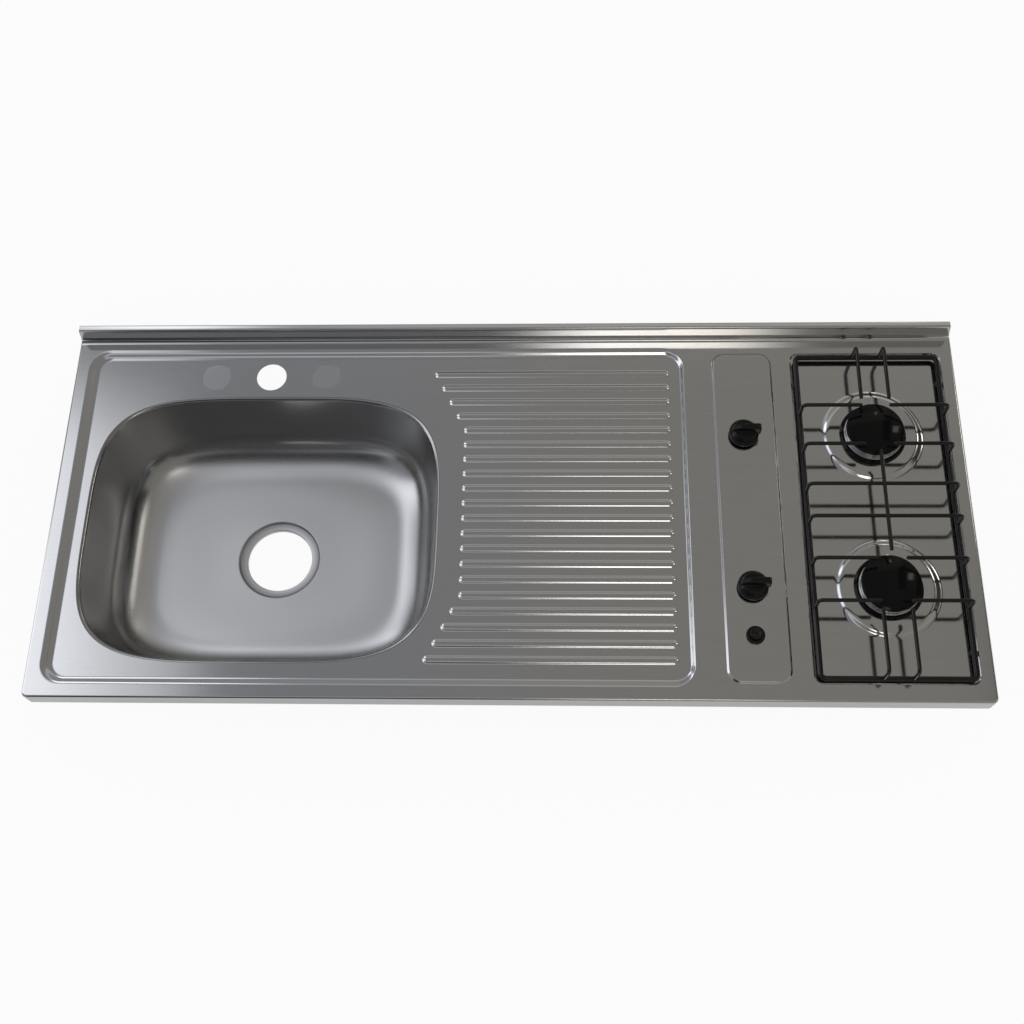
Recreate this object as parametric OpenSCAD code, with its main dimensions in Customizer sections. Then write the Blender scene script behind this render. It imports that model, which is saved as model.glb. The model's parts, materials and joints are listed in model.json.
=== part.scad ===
// Lay-on stainless kitchenette worktop: a pressed sink, a ribbed drainer and a two-burner gas hob.
// Millimetres. Modules are drawn from the worktop's front left corner, x to the right, y to the wall,
// z up from the flat rim, and seat_frame() moves them to the middle of the front seat.

/* [Worktop] */
// Length of the worktop
top_l = 1200; // [1160:10:1400]
// Depth from the front edge to the face of the upstand
top_d = 510; // [505:5:560]
// Thickness of the stainless sheet
sheet_t = 1; // [0.8:0.1:1.5]
// Height of the folded edge
edge_h = 25; // [22:1:40]
// Width of the return under the folded edge
return_w = 15; // [10:1:16]
// Plan radius of the front corners
corner_r = 8; // [7:0.5:12]
// Radius of the fold along the top edge
fold_r = 3.5; // [2:0.5:3.5]

/* [Upstand] */
// Height of the upstand above the rim
up_h = 28; // [20:1:60]
// Depth of the flat top of the upstand
up_top_w = 10; // [8:1:20]
// Radius where the rim turns up
up_bend_r = 6; // [3:0.5:10]
// Radius of the upstand's top bends
up_nose_r = 3; // [2:0.5:3.5]
// Depth of the lip behind the upstand
up_lip = 6; // [4:0.5:12]
// Plan radius of the ends of the flat top
up_end_r = 5; // [2:0.5:7]

/* [Sunken pan] */
// Rim width at the left
pan_left = 17; // [15:1:22]
// Rim width at the front
pan_front = 16; // [14:1:20]
// Flat strip between the pan and the upstand
pan_rear = 14; // [12:1:20]
// Depth of the pan below the rim
pan_drop = 5; // [2:0.5:8]
// Width of the sloped band at the left
band_left = 16; // [6:1:18]
// Width of the sloped band at the front
band_front = 12; // [6:1:13]
// Width of the sloped band at the rear
band_rear = 13; // [6:1:16]
// Width of the sloped band at the right
band_right = 5; // [3:0.5:10]
// Plan radius of the pan's outer corners
pan_r = 30; // [22:1:40]
// Plan radius of the pan's inner corners
pan_in_r = 18; // [8:1:22]

/* [Bowl] */
// Bowl centre from the left edge
bowl_x = 277.5; // [274:0.5:290]
// Bowl centre from the front edge
bowl_y = 235.5; // [234:0.5:240]
// Bowl length inside the rolled lip
bowl_l = 458; // [380:2:460]
// Bowl width inside the rolled lip
bowl_w = 368; // [300:2:370]
// Depth of the bowl below the pan
bowl_depth = 125; // [100:5:180]
// Squareness of the bowl's outline: 2 is an ellipse, more is squarer
bowl_power = 4; // [3:0.5:6]
// Thickness of the bowl
bowl_t = 1; // [0.8:0.1:1.5]
// Radius of the rolled lip
lip_r = 5; // [3:0.5:6]
// How far each side leans in on the way down
bowl_draft = 12; // [4:1:20]
// Radius between the sides and the floor
bowl_fillet = 52; // [30:2:60]
// Fall of the floor to the drain
floor_fall = 2; // [1:0.5:4]

/* [Drain] */
// Bore for the strainer
drain_d = 90; // [60:1:92]
// Diameter of the recess that the strainer's flange lies in
seat_d = 114; // [108:1:120]
// Depth of that recess
seat_drop = 2.5; // [1.5:0.5:4]
// Length of the turned-down collar
collar_h = 4; // [3:0.5:8]

/* [Tap holes] */
// Diameter of the tap hole and of the closed discs beside it
tap_d = 41; // [32:1:44]
// Tap hole centre to the left of the bowl centre
tap_off = 4.5; // [0:0.5:10]
// Tap hole centre to the face of the upstand
tap_back = 55; // [53:1:58]
// Spacing from the tap hole to the closed discs
knock_pitch = 76; // [60:1:90]
// Width of the scored line round a closed disc
score_w = 0.8; // [0.4:0.1:1.2]
// Depth of the scored line
score_h = 0.4; // [0.2:0.1:0.5]

/* [Drainer] */
// Number of ribs
rib_n = 20; // [10:1:20]
// Width of a rib
rib_w = 13.2; // [8:0.2:16]
// Height of a rib
rib_h = 3; // [1.5:0.5:4]
// Spacing of the ribs
rib_pitch = 21.3; // [17:0.1:21.5]
// First rib's centre line from the front edge
rib_front = 52.5; // [48:0.5:56]
// Left end of the middle ribs, from the left edge
rib_left = 540; // [530:1:600]
// How much further left each outer rib starts
rib_step = 10.5; // [0:0.5:10.5]
// How many ribs at the front and at the rear are stepped
rib_stepped = 4; // [0:1:4]
// From the ribs' right ends to the pan's right edge
rib_right = 20; // [14:1:40]

/* [Control panel] */
// From the pan to the panel
panel_gap = 36.7; // [30:0.1:50]
// Width of the panel
panel_w = 80.6; // [76:0.1:100]
// Height of the panel above the rim
panel_h = 2; // [1:0.5:4]
// Width of the panel's sloped border
panel_slope = 3; // [1.5:0.5:5]
// Plan radius of the panel's corners
panel_r = 18; // [10:1:24]
// Knob and button centres from the panel's left edge
control_in = 37.3; // [36:0.1:42]
// Igniter button centre from the front edge
igniter_front = 84; // [70:1:95]

/* [Hob] */
// From the panel to the hob recess
hob_gap = 24.7; // [20:0.1:40]
// Width of the hob recess
hob_w = 203; // [202:1:230]
// Rim to the right of the hob recess
hob_edge = 17; // [17:1:30]
// Rim in front of the hob recess and the panel
hob_front = 22.5; // [22:0.5:30]
// Rim behind the hob recess and the panel
hob_rear = 23.5; // [23:0.5:34]
// Depth of the hob recess
hob_drop = 3; // [1.5:0.5:4]
// Width of the recess's sloped border
hob_slope = 2.5; // [1.5:0.5:3]
// Plan radius of the recess's corners
hob_r = 12; // [8:1:20]
// Distance between the burner centres
burner_pitch = 214; // [204:1:230]
// Radius of the pressed disc under a burner
boss_r = 68; // [64:1:76]
// Radius of the flat top of that disc
boss_top_r = 60; // [56:1:62]
// Height of that disc above the recess
boss_h = 3.5; // [2:0.5:5]

/* [Burners] */
// Outer radius of the black base ring
base_r = 43.5; // [42:0.5:48]
// Height of the base ring
base_h = 4; // [3.5:0.5:6]
// Radius of the burner head below the flame ports
head_flange_r = 40; // [37:0.5:41]
// Radius of the ported ring
head_r = 34.5; // [32:0.5:35]
// Height of the burner head
head_h = 12; // [11:0.5:16]
// Number of flame ports
port_n = 28; // [16:1:32]
// Width of a flame port
port_w = 2; // [1:0.2:2.6]
// Radius of the burner cap
cap_r = 37.5; // [36:0.5:40]
// Height of the burner cap
cap_h = 9.5; // [8:0.5:11]
// Radius of the cup that stands in the worktop
cup_r = 29.5; // [27:0.5:30]
// Wall of the cast cup
cup_wall = 2.5; // [2:0.5:3.5]
// Outer radius of the mixing tube
venturi_r = 10; // [9:0.5:12]
// Length of the mixing tube from the burner centre
venturi_l = 62; // [56:1:66]
// Distance of the spark electrode from the burner centre
spark_r = 38.6; // [38.2:0.2:39]

/* [Pan support] */
// Radius of the frame rod
rod_r = 3.5; // [3:0.25:4.5]
// Radius of the finger wire
wire_r = 2.5; // [2:0.25:3]
// Gap from the recess edge to the frame, at the sides
grid_side = 3.8; // [3.5:0.1:6]
// Gap from the recess edge to the frame, at the front
grid_front = 2.5; // [2.5:0.1:6]
// Gap from the recess edge to the frame, at the rear
grid_rear = 6.5; // [2.5:0.1:8]
// Plan radius of the frame's outer corners
grid_r = 10; // [9:0.5:16]
// Height of the frame rod's centre above the rim
grid_z = 5; // [4:0.5:8]
// Height of the finger wires' centre above the rim
finger_z = 33; // [33:0.5:40]
// Bend radius of a finger
finger_bend = 6; // [4:0.5:8]
// Side fingers' distance before and behind a burner centre
finger_y = 28; // [24:0.5:32]
// Clear radius left at a side finger's tip
finger_tip = 19.5; // [16:0.5:24]
// End fingers' distance to each side of a burner centre
finger_x = 18; // [14:0.5:24]
// Clear radius left at an end finger's tip
end_tip = 39.5; // [36:0.5:44]
// Middle wires' distance from the hob's centre
mid_y = 22.3; // [18:0.1:30]
// Radius of a rubber foot
foot_r = 3.5; // [3:0.25:4]
// Feet from the frame's front and rear edges
foot_in = 36; // [30:1:60]

/* [Knobs] */
// Radius of the knob's skirt
knob_r = 19.5; // [17:0.5:22]
// Height of the knob
knob_h = 24; // [21:0.5:28]
// Height of the skirt
skirt_h = 6; // [5:0.5:8]
// Width of the wing grip
wing_w = 9; // [8:0.5:12]
// How far the wing reaches past the knob's centre, towards the hob
wing_l = 21; // [16:0.5:24]
// Gap under the knob, for the push
knob_gap = 3; // [2.8:0.1:4]
// Radius of the tap stem
stem_r = 4; // [3.5:0.25:4.5]

/* [Igniter] */
// Radius of the bezel
bezel_r = 11.8; // [11:0.2:13]
// Radius of the igniter body
igniter_r = 9; // [8.6:0.1:9.4]
// Radius of the button
button_r = 7.4; // [6:0.1:7.4]
// Height of the bezel
bezel_h = 3; // [2:0.5:4]
// How far the button stands out, which is a little more than its travel
button_h = 4.5; // [4.3:0.1:6]

/* [Gas parts] */
// Depth of the burner box below the rim
box_h = 75; // [70:1:90]
// Thickness of the galvanised sheet
galv_t = 1; // [0.8:0.1:1.2]
// Depth of the pipe axis below the rim
gas_z = 30; // [28:0.5:31]
// Depth of the gas rail's axis below the rim
rail_z = 52; // [52:0.5:56]
// Radius of the gas rail
rail_r = 8; // [7:0.5:8]
// Radius of the supply pipes
pipe_r = 4; // [3:0.5:4]
// Radius of the gas inlet's male thread
inlet_r = 10.5; // [8:0.1:11]
// Radius of a tap body
tap_body_r = 12; // [11.5:0.5:13]
// Radius of an ignition lead
lead_r = 1.5; // [1:0.1:1.8]

/* [Hidden] */
$fn = 48;

steel = [0.66, 0.66, 0.65];
galvanised = [0.58, 0.6, 0.62];
black_enamel = [0.05, 0.05, 0.05];
black_plastic = [0.08, 0.08, 0.08];
brass = [0.75, 0.6, 0.3];
cast_aluminium = [0.72, 0.72, 0.7];
rubber = [0.12, 0.12, 0.12];

// Clearances
run_gap = 0.05;     // turning and sliding fits
seat_gap = 0.3;     // pieces that only stand near each other
thin = 0.01;        // thickness of a hull's end plates

// Places across the worktop
hob_x1 = top_l - hob_edge;
hob_x0 = hob_x1 - hob_w;
panel_x1 = hob_x0 - hob_gap;
panel_x0 = panel_x1 - panel_w;
pan_x1 = panel_x0 - panel_gap;
hob_y0 = hob_front;
hob_y1 = top_d - hob_rear;
pan_y1 = top_d - pan_rear;
hob_cx = (hob_x0 + hob_x1) / 2;
hob_cy = (hob_y0 + hob_y1) / 2;
rear_y = hob_cy + burner_pitch / 2;
front_y = hob_cy - burner_pitch / 2;
control_x = panel_x0 + control_in;
tap_x = bowl_x - tap_off;
tap_y = top_d - tap_back;
flat_y1 = top_d - up_bend_r;        // where the rim starts to turn up

// Levels
pan_z = -pan_drop;
boss_z = boss_h - hob_drop;         // top of a pressed burner disc
under_boss = boss_z - sheet_t;
base_z = boss_z + base_h;           // top of a base ring
head_z = base_z + head_h;           // top of a burner head, where the cap rests
floor_z = -box_h;                   // underside of the burner box
floor_top = floor_z + galv_t;

end_x = fold_r - sheet_t;           // where the ends of the upstand start
up_lean = 4;                        // how far they lean in

// ---------- shared shapes ----------

module seat_frame() translate([-top_l / 2, -return_w / 2, edge_h]) children();

// A rounded rectangle made of two bars and four discs
module rounded_rect(x0, y0, x1, y1, r) {
    translate([x0 + r, y0]) square([x1 - x0 - 2 * r, y1 - y0]);
    translate([x0, y0 + r]) square([x1 - x0, y1 - y0 - 2 * r]);
    for (x = [x0 + r, x1 - r], y = [y0 + r, y1 - r]) translate([x, y]) circle(r);
}

// A drawing in y and z, run along x
module along_x(x0, x1) translate([x0, 0, 0]) rotate([90, 0, 90]) linear_extrude(x1 - x0) children();

// A drawing in x and z, run along y
module along_y(y0, y1) translate([0, y1, 0]) rotate([90, 0, 0]) linear_extrude(y1 - y0) children();

module rod_x(x0, x1, r) translate([x0, 0, 0]) rotate([0, 90, 0]) cylinder(r = r, h = x1 - x0);
module rod_y(y0, y1, r) translate([0, y1, 0]) rotate([90, 0, 0]) cylinder(r = r, h = y1 - y0);
module rod_z(z0, z1, r) translate([0, 0, z0]) cylinder(r = r, h = z1 - z0);

module hex_x(x0, x1, flats) {
    translate([x0, 0, 0]) rotate([0, 90, 0]) cylinder(r = flats / sqrt(3), h = x1 - x0, $fn = 6);
}

// A quarter of a flat ring: the section of a bend in sheet
module quarter_ring(r_in, r_out, turn) {
    rotate(turn) intersection() {
        difference() {
            circle(r_out);
            circle(r_in);
        }
        square(r_out);
    }
}

// Wire along a list of points, with round corners
module wire(points, r) {
    for (i = [1 : len(points) - 1]) {
        a = points[i - 1];
        b = points[i];
        d = b - a;
        l = norm(d);
        translate(a) rotate([0, acos(d.z / l), atan2(d.y, d.x)]) cylinder(r = r, h = l);
        if (i < len(points) - 1) translate(b) sphere(r = r);
    }
}

// A round wire spring from z = 0 up, with its ends lying flat
module coil(mean_r, r, turns, height) {
    steps = 12;
    sides = 6;
    n = turns * steps;
    rise = height - 2 * r;
    // the first and last half turns climb slowly, as on a closed end
    function climb(i) = rise * i / n;
    points = [for (i = [0 : n], j = [0 : sides - 1])
        let (a = 360 * i / steps, b = 360 * j / sides)
        [(mean_r + r * cos(b)) * cos(a), (mean_r + r * cos(b)) * sin(a), r + climb(i) + r * sin(b)]];
    walls = [for (i = [0 : n - 1], j = [0 : sides - 1])
        let (k = (j + 1) % sides)
        each [[i * sides + j, (i + 1) * sides + k, (i + 1) * sides + j],
              [i * sides + j, i * sides + k, (i + 1) * sides + k]]];
    start = [for (j = [1 : sides - 2]) [0, j + 1, j]];
    finish = [for (j = [1 : sides - 2]) [n * sides, n * sides + j, n * sides + j + 1]];
    polyhedron(points = points, faces = concat(walls, start, finish));
}

// ---------- pressed worktop ----------

// Plan of the worktop with round front corners
module plan(inset) {
    r = corner_r - inset;
    translate([inset + r, inset]) square([top_l - 2 * (inset + r), flat_y1 - inset]);
    translate([inset, inset + r]) square([top_l - 2 * inset, flat_y1 - inset - r]);
    for (x = [inset + r, top_l - inset - r]) translate([x, inset + r]) circle(r);
}

module quarter_disc(r) quarter_ring(0, r, 0);

// A block whose front and side top edges are rounded
module folded_block(inset, fold, low) {
    in = inset + fold;
    mid_r = corner_r - in;
    translate([0, 0, low]) linear_extrude(-fold - low) plan(inset);
    translate([0, 0, -fold]) linear_extrude(fold) plan(in);
    along_x(in + mid_r, top_l - in - mid_r) translate([in, -fold]) mirror([1, 0]) quarter_ring(0, fold, 0);
    along_y(in + mid_r, flat_y1) translate([in, -fold]) mirror([1, 0]) quarter_ring(0, fold, 0);
    along_y(in + mid_r, flat_y1) translate([top_l - in, -fold]) quarter_ring(0, fold, 0);
    translate([in + mid_r, in + mid_r, -fold]) rotate(180) rotate_extrude(angle = 90)
        translate([mid_r, 0]) quarter_ring(0, fold, 0);
    translate([top_l - in - mid_r, in + mid_r, -fold]) rotate(270) rotate_extrude(angle = 90)
        translate([mid_r, 0]) quarter_ring(0, fold, 0);
}

// A field with sloped borders, from the outline at z_out to the smaller one at z_in
module sloped_field(x0, y0, x1, y1, r, left, front, right, rear, r_in, z_out, z_in) {
    below = z_in > z_out ? thin : 0;
    hull() {
        for (x = [x0 + r, x1 - r], y = [y0 + r, y1 - r])
            translate([x, y, z_out - below]) cylinder(r = r, h = thin, $fn = 32);
        for (x = [x0 + left + r_in, x1 - right - r_in], y = [y0 + front + r_in, y1 - rear - r_in])
            translate([x, y, z_in - below]) cylinder(r = r_in, h = thin, $fn = 32);
    }
}

module pan_field() {
    sloped_field(pan_left, pan_front, pan_x1, pan_y1, pan_r,
        band_left, band_front, band_right, band_rear, pan_in_r, 0, pan_z);
}

module hob_field() {
    sloped_field(hob_x0, hob_y0, hob_x1, hob_y1, hob_r,
        hob_slope, hob_slope, hob_slope, hob_slope, hob_r - hob_slope, 0, -hob_drop);
}

module panel_field() {
    sloped_field(panel_x0, hob_y0, panel_x1, hob_y1, panel_r,
        panel_slope, panel_slope, panel_slope, panel_slope, panel_r - panel_slope, 0, panel_h);
}

// A rib is the top of a round bar sunk in the pan
module ribs() {
    bar_r = (rib_w * rib_w / 4 + rib_h * rib_h) / (2 * rib_h);
    x1 = pan_x1 - rib_right - rib_w / 2;
    for (k = [0 : rib_n - 1]) {
        outer = max(0, rib_stepped - k, k - (rib_n - 1 - rib_stepped));
        x0 = rib_left - rib_step * outer + rib_w / 2;
        translate([0, rib_front + k * rib_pitch, pan_z + rib_h - bar_r]) {
            rod_x(x0, x1, bar_r);
            for (x = [x0, x1]) translate([x, 0, 0]) sphere(r = bar_r);
        }
    }
}

// The worktop as a solid whose top is one side of the sheet
module relief(inset, low) {
    difference() {
        folded_block(inset, fold_r - inset, low);
        pan_field();
        hob_field();
    }
    panel_field();
    for (y = [front_y, rear_y])
        translate([hob_cx, y, -hob_drop]) cylinder(r1 = boss_r, r2 = boss_top_r, h = boss_h);
    ribs();
}

module edge_return() {
    translate([0, 0, -edge_h]) linear_extrude(sheet_t) difference() {
        plan(0);
        translate([return_w, return_w]) square([top_l - 2 * return_w, top_d]);
        // the rear rail takes over behind the pan
        translate([0, pan_y1]) square([top_l, top_d]);
    }
}

module upstand_section() {
    nose_z = up_h - up_nose_r;
    translate([flat_y1, up_bend_r]) quarter_ring(up_bend_r, up_bend_r + sheet_t, 270);
    translate([top_d, up_bend_r]) square([sheet_t, nose_z - up_bend_r]);
    translate([top_d + up_nose_r, nose_z]) quarter_ring(up_nose_r - sheet_t, up_nose_r, 90);
    translate([top_d + up_nose_r, up_h - sheet_t]) square([up_top_w - 2 * up_nose_r, sheet_t]);
    translate([top_d + up_top_w - up_nose_r, nose_z]) quarter_ring(up_nose_r - sheet_t, up_nose_r, 0);
    translate([top_d + up_top_w - sheet_t, up_h - up_lip]) square([sheet_t, up_lip - up_nose_r]);
}

module upstand() {
    rear = top_d + up_top_w;
    difference() {
        along_x(0, top_l) upstand_section();
        // the ends lean in
        for (side = [0, 1]) translate([side * top_l, 0, 0]) mirror([side, 0, 0])
            along_y(flat_y1 - 1, rear + 1) polygon([
                [-1, -2 * sheet_t], [end_x, -2 * sheet_t], [end_x, 0], [end_x + up_lean, up_h + 1],
                [-1, up_h + 1]
            ]);
        for (side = [0, 1]) translate([side * top_l, rear, up_h - up_lip - 1]) mirror([side, 0, 0])
            linear_extrude(up_lip + 2) difference() {
                translate([-1, -up_end_r]) square([up_end_r + 1, up_end_r + 1]);
                translate([up_end_r, -up_end_r]) circle(up_end_r);
            }
    }
    // the folded sides go on to the wall, closed under the bend
    for (side = [0, 1]) translate([side * top_l, 0, 0]) mirror([side, 0, 0]) {
        along_y(flat_y1, top_d + sheet_t) {
            translate([0, -edge_h]) square([sheet_t, edge_h - fold_r]);
            translate([fold_r, -fold_r]) mirror([1, 0]) quarter_ring(fold_r - sheet_t, fold_r, 0);
        }
        along_x(end_x, end_x + sheet_t) difference() {
            translate([flat_y1, -sheet_t]) square([up_bend_r + sheet_t, up_bend_r + sheet_t]);
            translate([flat_y1, up_bend_r]) circle(up_bend_r + sheet_t / 2);
        }
    }
}

module worktop_holes() {
    through = [-20, 20];
    translate([0, 0, pan_z - sheet_t - 1]) linear_extrude(sheet_t + 2) polygon(bowl_outline(-lip_r));
    translate([tap_x, tap_y, 0]) rod_z(through[0], through[1], tap_d / 2);
    for (y = [front_y, rear_y]) {
        translate([hob_cx, y, 0]) rod_z(through[0], through[1], cup_r + 1);
        translate([hob_cx, y + spark_r, 0]) rod_z(through[0], through[1], spark_hole_r);
        burner_screw_places(y) rod_z(through[0], through[1], screw_r + 0.2);
        translate([control_x, y, 0]) rod_z(through[0], through[1], stem_hole_r);
    }
    translate([control_x, igniter_front, 0]) rod_z(through[0], through[1], igniter_r + 0.2);
    for (side = [-1, 1]) translate([tap_x + side * knock_pitch, tap_y, pan_z - score_h])
        linear_extrude(1) difference() {
            circle(tap_d / 2);
            circle(tap_d / 2 - score_w);
        }
}

module worktop() color(steel) {
    difference() {
        relief(0, -edge_h);
        translate([0, 0, -sheet_t]) relief(sheet_t, -edge_h - 1);
        translate([sheet_t, flat_y1 - 1, -edge_h - 1])
            cube([top_l - 2 * sheet_t, 2, edge_h + 1 - sheet_t]);
        worktop_holes();
    }
    edge_return();
    upstand();
}

// ---------- bowl ----------

bowl_points = 80;       // points round each outline
cut_r = seat_d / 2 + 3; // where the round drain seat meets the drawn floor

// One point of the bowl's outline, set in by d from the opening
function sign_pow(v, p) = sign(v) * pow(abs(v), p);
function outline_point(d, a) = [
    (bowl_l / 2 - d) * sign_pow(cos(a), 2 / bowl_power),
    (bowl_w / 2 - d) * sign_pow(sin(a), 2 / bowl_power)
];
function bowl_outline(d) = [for (i = [0 : bowl_points - 1])
    [bowl_x, bowl_y] + outline_point(d, 360 * i / bowl_points)];

// The section down the bowl's side. Each row is [set in, height, share of circle, normal]
wall_a = atan(bowl_draft / (bowl_depth - lip_r - bowl_fillet));
roll_end = 90 - wall_a;
lip_d = lip_r * (sin(roll_end) - 1);
lip_z = -lip_r * (1 - cos(roll_end));
fillet_z = -bowl_depth + bowl_fillet * (1 - sin(wall_a));
fillet_d = lip_d + (lip_z - fillet_z) * tan(wall_a);
floor_d = fillet_d + bowl_fillet * cos(wall_a);
section = concat(
    [for (i = [0 : 3]) let (a = roll_end * i / 3)
        [lip_r * (sin(a) - 1), -lip_r * (1 - cos(a)), 0, [-sin(a), -cos(a)]]],
    [for (i = [0 : 6]) let (a = wall_a + roll_end * i / 6)
        [fillet_d + bowl_fillet * (cos(wall_a) - cos(a)),
         fillet_z - bowl_fillet * (sin(a) - sin(wall_a)), 0, [-cos(a), -sin(a)]]],
    [[floor_d, -bowl_depth - floor_fall, cut_r + 6, [0, -1]],
     [floor_d, -bowl_depth - floor_fall, cut_r - 2, [0, -1]]]
);

// A ring of the loft: the bowed outline, or a circle near the drain
function loft_ring(row, off) = [for (i = [0 : bowl_points - 1])
    let (p = outline_point(row[0] + off * row[3][0], 360 * i / bowl_points),
         q = row[2] > 0 ? p / norm(p) * row[2] : p)
    [q.x, q.y, row[1] + off * row[3][1]]];

module drawn_bowl() {
    rings = concat([for (row = section) loft_ring(row, 0)],
        [for (i = [len(section) - 1 : -1 : 0]) loft_ring(section[i], bowl_t)]);
    n = bowl_points;
    k = len(rings);
    points = [for (ring = rings, p = ring) p];
    faces = [for (i = [0 : k - 1], j = [0 : n - 1])
        let (i2 = (i + 1) % k, j2 = (j + 1) % n)
        each [[i * n + j, i2 * n + j2, i * n + j2], [i * n + j, i2 * n + j, i2 * n + j2]]];
    polyhedron(points = points, faces = faces);
}

// The strainer's seat: a round recess with a turned-down collar
module drain_seat() {
    r = drain_d / 2;
    s = seat_d / 2;
    t = bowl_t;
    roll = 2;
    low = -seat_drop;
    rotate_extrude() polygon([
        [cut_r, 0], [s, 0], [s - seat_drop / 2, low], [r + roll, low], [r, low - roll],
        [r, low - roll - collar_h], [r + t, low - roll - collar_h], [r + t, low - roll - t / 2],
        [r + roll + t / 2, low - t], [s - seat_drop / 2 - t / 2, low - t], [s - t / 2, -t], [cut_r, -t]
    ]);
}

module sink_bowl() color(steel) translate([bowl_x, bowl_y, pan_z]) {
    difference() {
        drawn_bowl();
        rod_z(-bowl_depth - 20, -bowl_depth + 20, cut_r);
    }
    translate([0, 0, -bowl_depth - floor_fall]) drain_seat();
}

// ---------- stiffeners ----------

// A channel section, open towards -x, between z0 and z1
module channel_section(x0, x1, z0, z1) {
    translate([x0, z0]) square([x1 - x0, galv_t]);
    translate([x0, z1 - galv_t]) square([x1 - x0, galv_t]);
    translate([x1 - galv_t, z0]) square([galv_t, z1 - z0]);
}

rail_inset = fold_r;    // clear of the folded sides
front_rail_w = 13;
channel_w = 40;
channel_flange = 12;
channel_right = 60;      // first channel from the pan's right edge
channel_pitch = 170;

module rear_rail() color(galvanised) {
    along_x(rail_inset, top_l - rail_inset)
        channel_section(pan_y1 + 1, flat_y1 + up_bend_r - 1, -edge_h, -sheet_t);
}

module front_rail() color(galvanised) {
    y0 = pan_front + band_front + 1;
    along_x(pan_left + band_left + pan_in_r, pan_x1 - band_right - 4)
        channel_section(y0, y0 + front_rail_w, -edge_h, pan_z - sheet_t);
}

// Top-hat channels under the drainer, from the front rail to the rear band
module drainer_channels() color(galvanised) {
    z1 = pan_z - sheet_t;
    y0 = pan_front + band_front + front_rail_w + 1.3;
    y1 = pan_y1 - band_rear - 2;
    for (x = [pan_x1 - channel_right, pan_x1 - channel_right - channel_pitch]) along_y(y0, y1) {
        translate([x - channel_w / 2, z1 - galv_t]) square([channel_w, galv_t]);
        for (s = [-1, 1]) {
            translate([x + s * (channel_w - galv_t) / 2 - galv_t / 2, -edge_h]) square([galv_t, z1 + edge_h]);
            translate([x + s * (channel_w + channel_flange - 2 * galv_t) / 2 - channel_flange / 2, -edge_h])
                square([channel_flange, galv_t]);
        }
    }
}

// ---------- burner box ----------

box_x0 = panel_x0 - 11;
box_x1 = hob_x1 + 1;
box_y0 = hob_y0 - 5;
box_y1 = hob_y1 + 2;
box_flange = 8;
box_foot = 12;          // inward flange that the floor is screwed to
screw_r = 2;
floor_screw_n = 3;      // screws along each long side

module floor_screw_places() {
    span = box_y1 - box_y0 - 2 * box_foot;
    for (x = [box_x0 + box_foot / 2 + 1, box_x1 - box_foot / 2 - 1], i = [0 : floor_screw_n - 1])
        translate([x, box_y0 + box_foot + span * (i + 0.5) / floor_screw_n, 0]) children();
}

module burner_box() color(galvanised) {
    top = -sheet_t;
    low = floor_z + galv_t;
    difference() {
        union() {
            translate([box_x0, box_y0, low]) cube([box_x1 - box_x0, box_y1 - box_y0, top - low]);
            translate([box_x0 - box_flange, box_y0 - box_flange, top - galv_t])
                cube([box_x1 - box_x0 + 2 * box_flange, box_y1 - box_y0 + 2 * box_flange, galv_t]);
        }
        translate([box_x0 + galv_t, box_y0 + galv_t, low + galv_t])
            cube([box_x1 - box_x0 - 2 * galv_t, box_y1 - box_y0 - 2 * galv_t, box_h]);
        translate([box_x0 + box_foot, box_y0 + box_foot, low - 1])
            cube([box_x1 - box_x0 - 2 * box_foot, box_y1 - box_y0 - 2 * box_foot, 4]);
        floor_screw_places() rod_z(low - 1, low + 3, screw_r + run_gap);
    }
}

module box_floor() color(galvanised) {
    slot_n = 9;
    slot_l = 70;
    slot_w = 6;
    difference() {
        translate([box_x0, box_y0, floor_z]) cube([box_x1 - box_x0, box_y1 - box_y0, galv_t]);
        floor_screw_places() rod_z(floor_z - 1, floor_top + 1, screw_r + run_gap);
        translate([control_x, inlet_y, 0]) rod_z(floor_z - 1, floor_top + 1, inlet_neck_r + seat_gap);
        for (y = [front_y, rear_y], i = [0 : slot_n - 1])
            translate([hob_cx - slot_l / 2, y + (2 * i - slot_n + 0.5) * slot_w, floor_z - 1])
                cube([slot_l, slot_w, galv_t + 2]);
    }
}

module floor_screws() color(galvanised) {
    floor_screw_places() {
        rod_z(floor_z, floor_top + galv_t + 3, screw_r);
        rod_z(floor_z - 2, floor_z, 2 * screw_r);
    }
}

// ---------- gas rail and inlet ----------

rail_wall = 1.5;
inlet_in = 35;                      // inlet to the rear wall of the box
inlet_y = box_y1 - inlet_in;
rail_y0 = igniter_front + 36;
rail_seat = 6;                      // end of the rail before the elbow's corner
rail_y1 = inlet_y - rail_seat;
elbow_r = inlet_r + 1.6;
inlet_neck_r = inlet_r + 0.4;       // where it passes the floor
inlet_low = floor_z - 25;
spigot_r = 4;
bracket_y = 50;                     // rail brackets from the hob's centre
bracket_foot = 14;

module gas_rail() color(brass) translate([control_x, 0, -rail_z]) {
    difference() {
        rod_y(rail_y0, rail_y1, rail_r);
        rod_y(rail_y0 + 2 * rail_wall, rail_y1 + 1, rail_r - rail_wall);
        for (y = [front_y, rear_y]) translate([0, y, 0]) rod_z(0, rail_r + 1, spigot_r + run_gap);
    }
}

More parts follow.
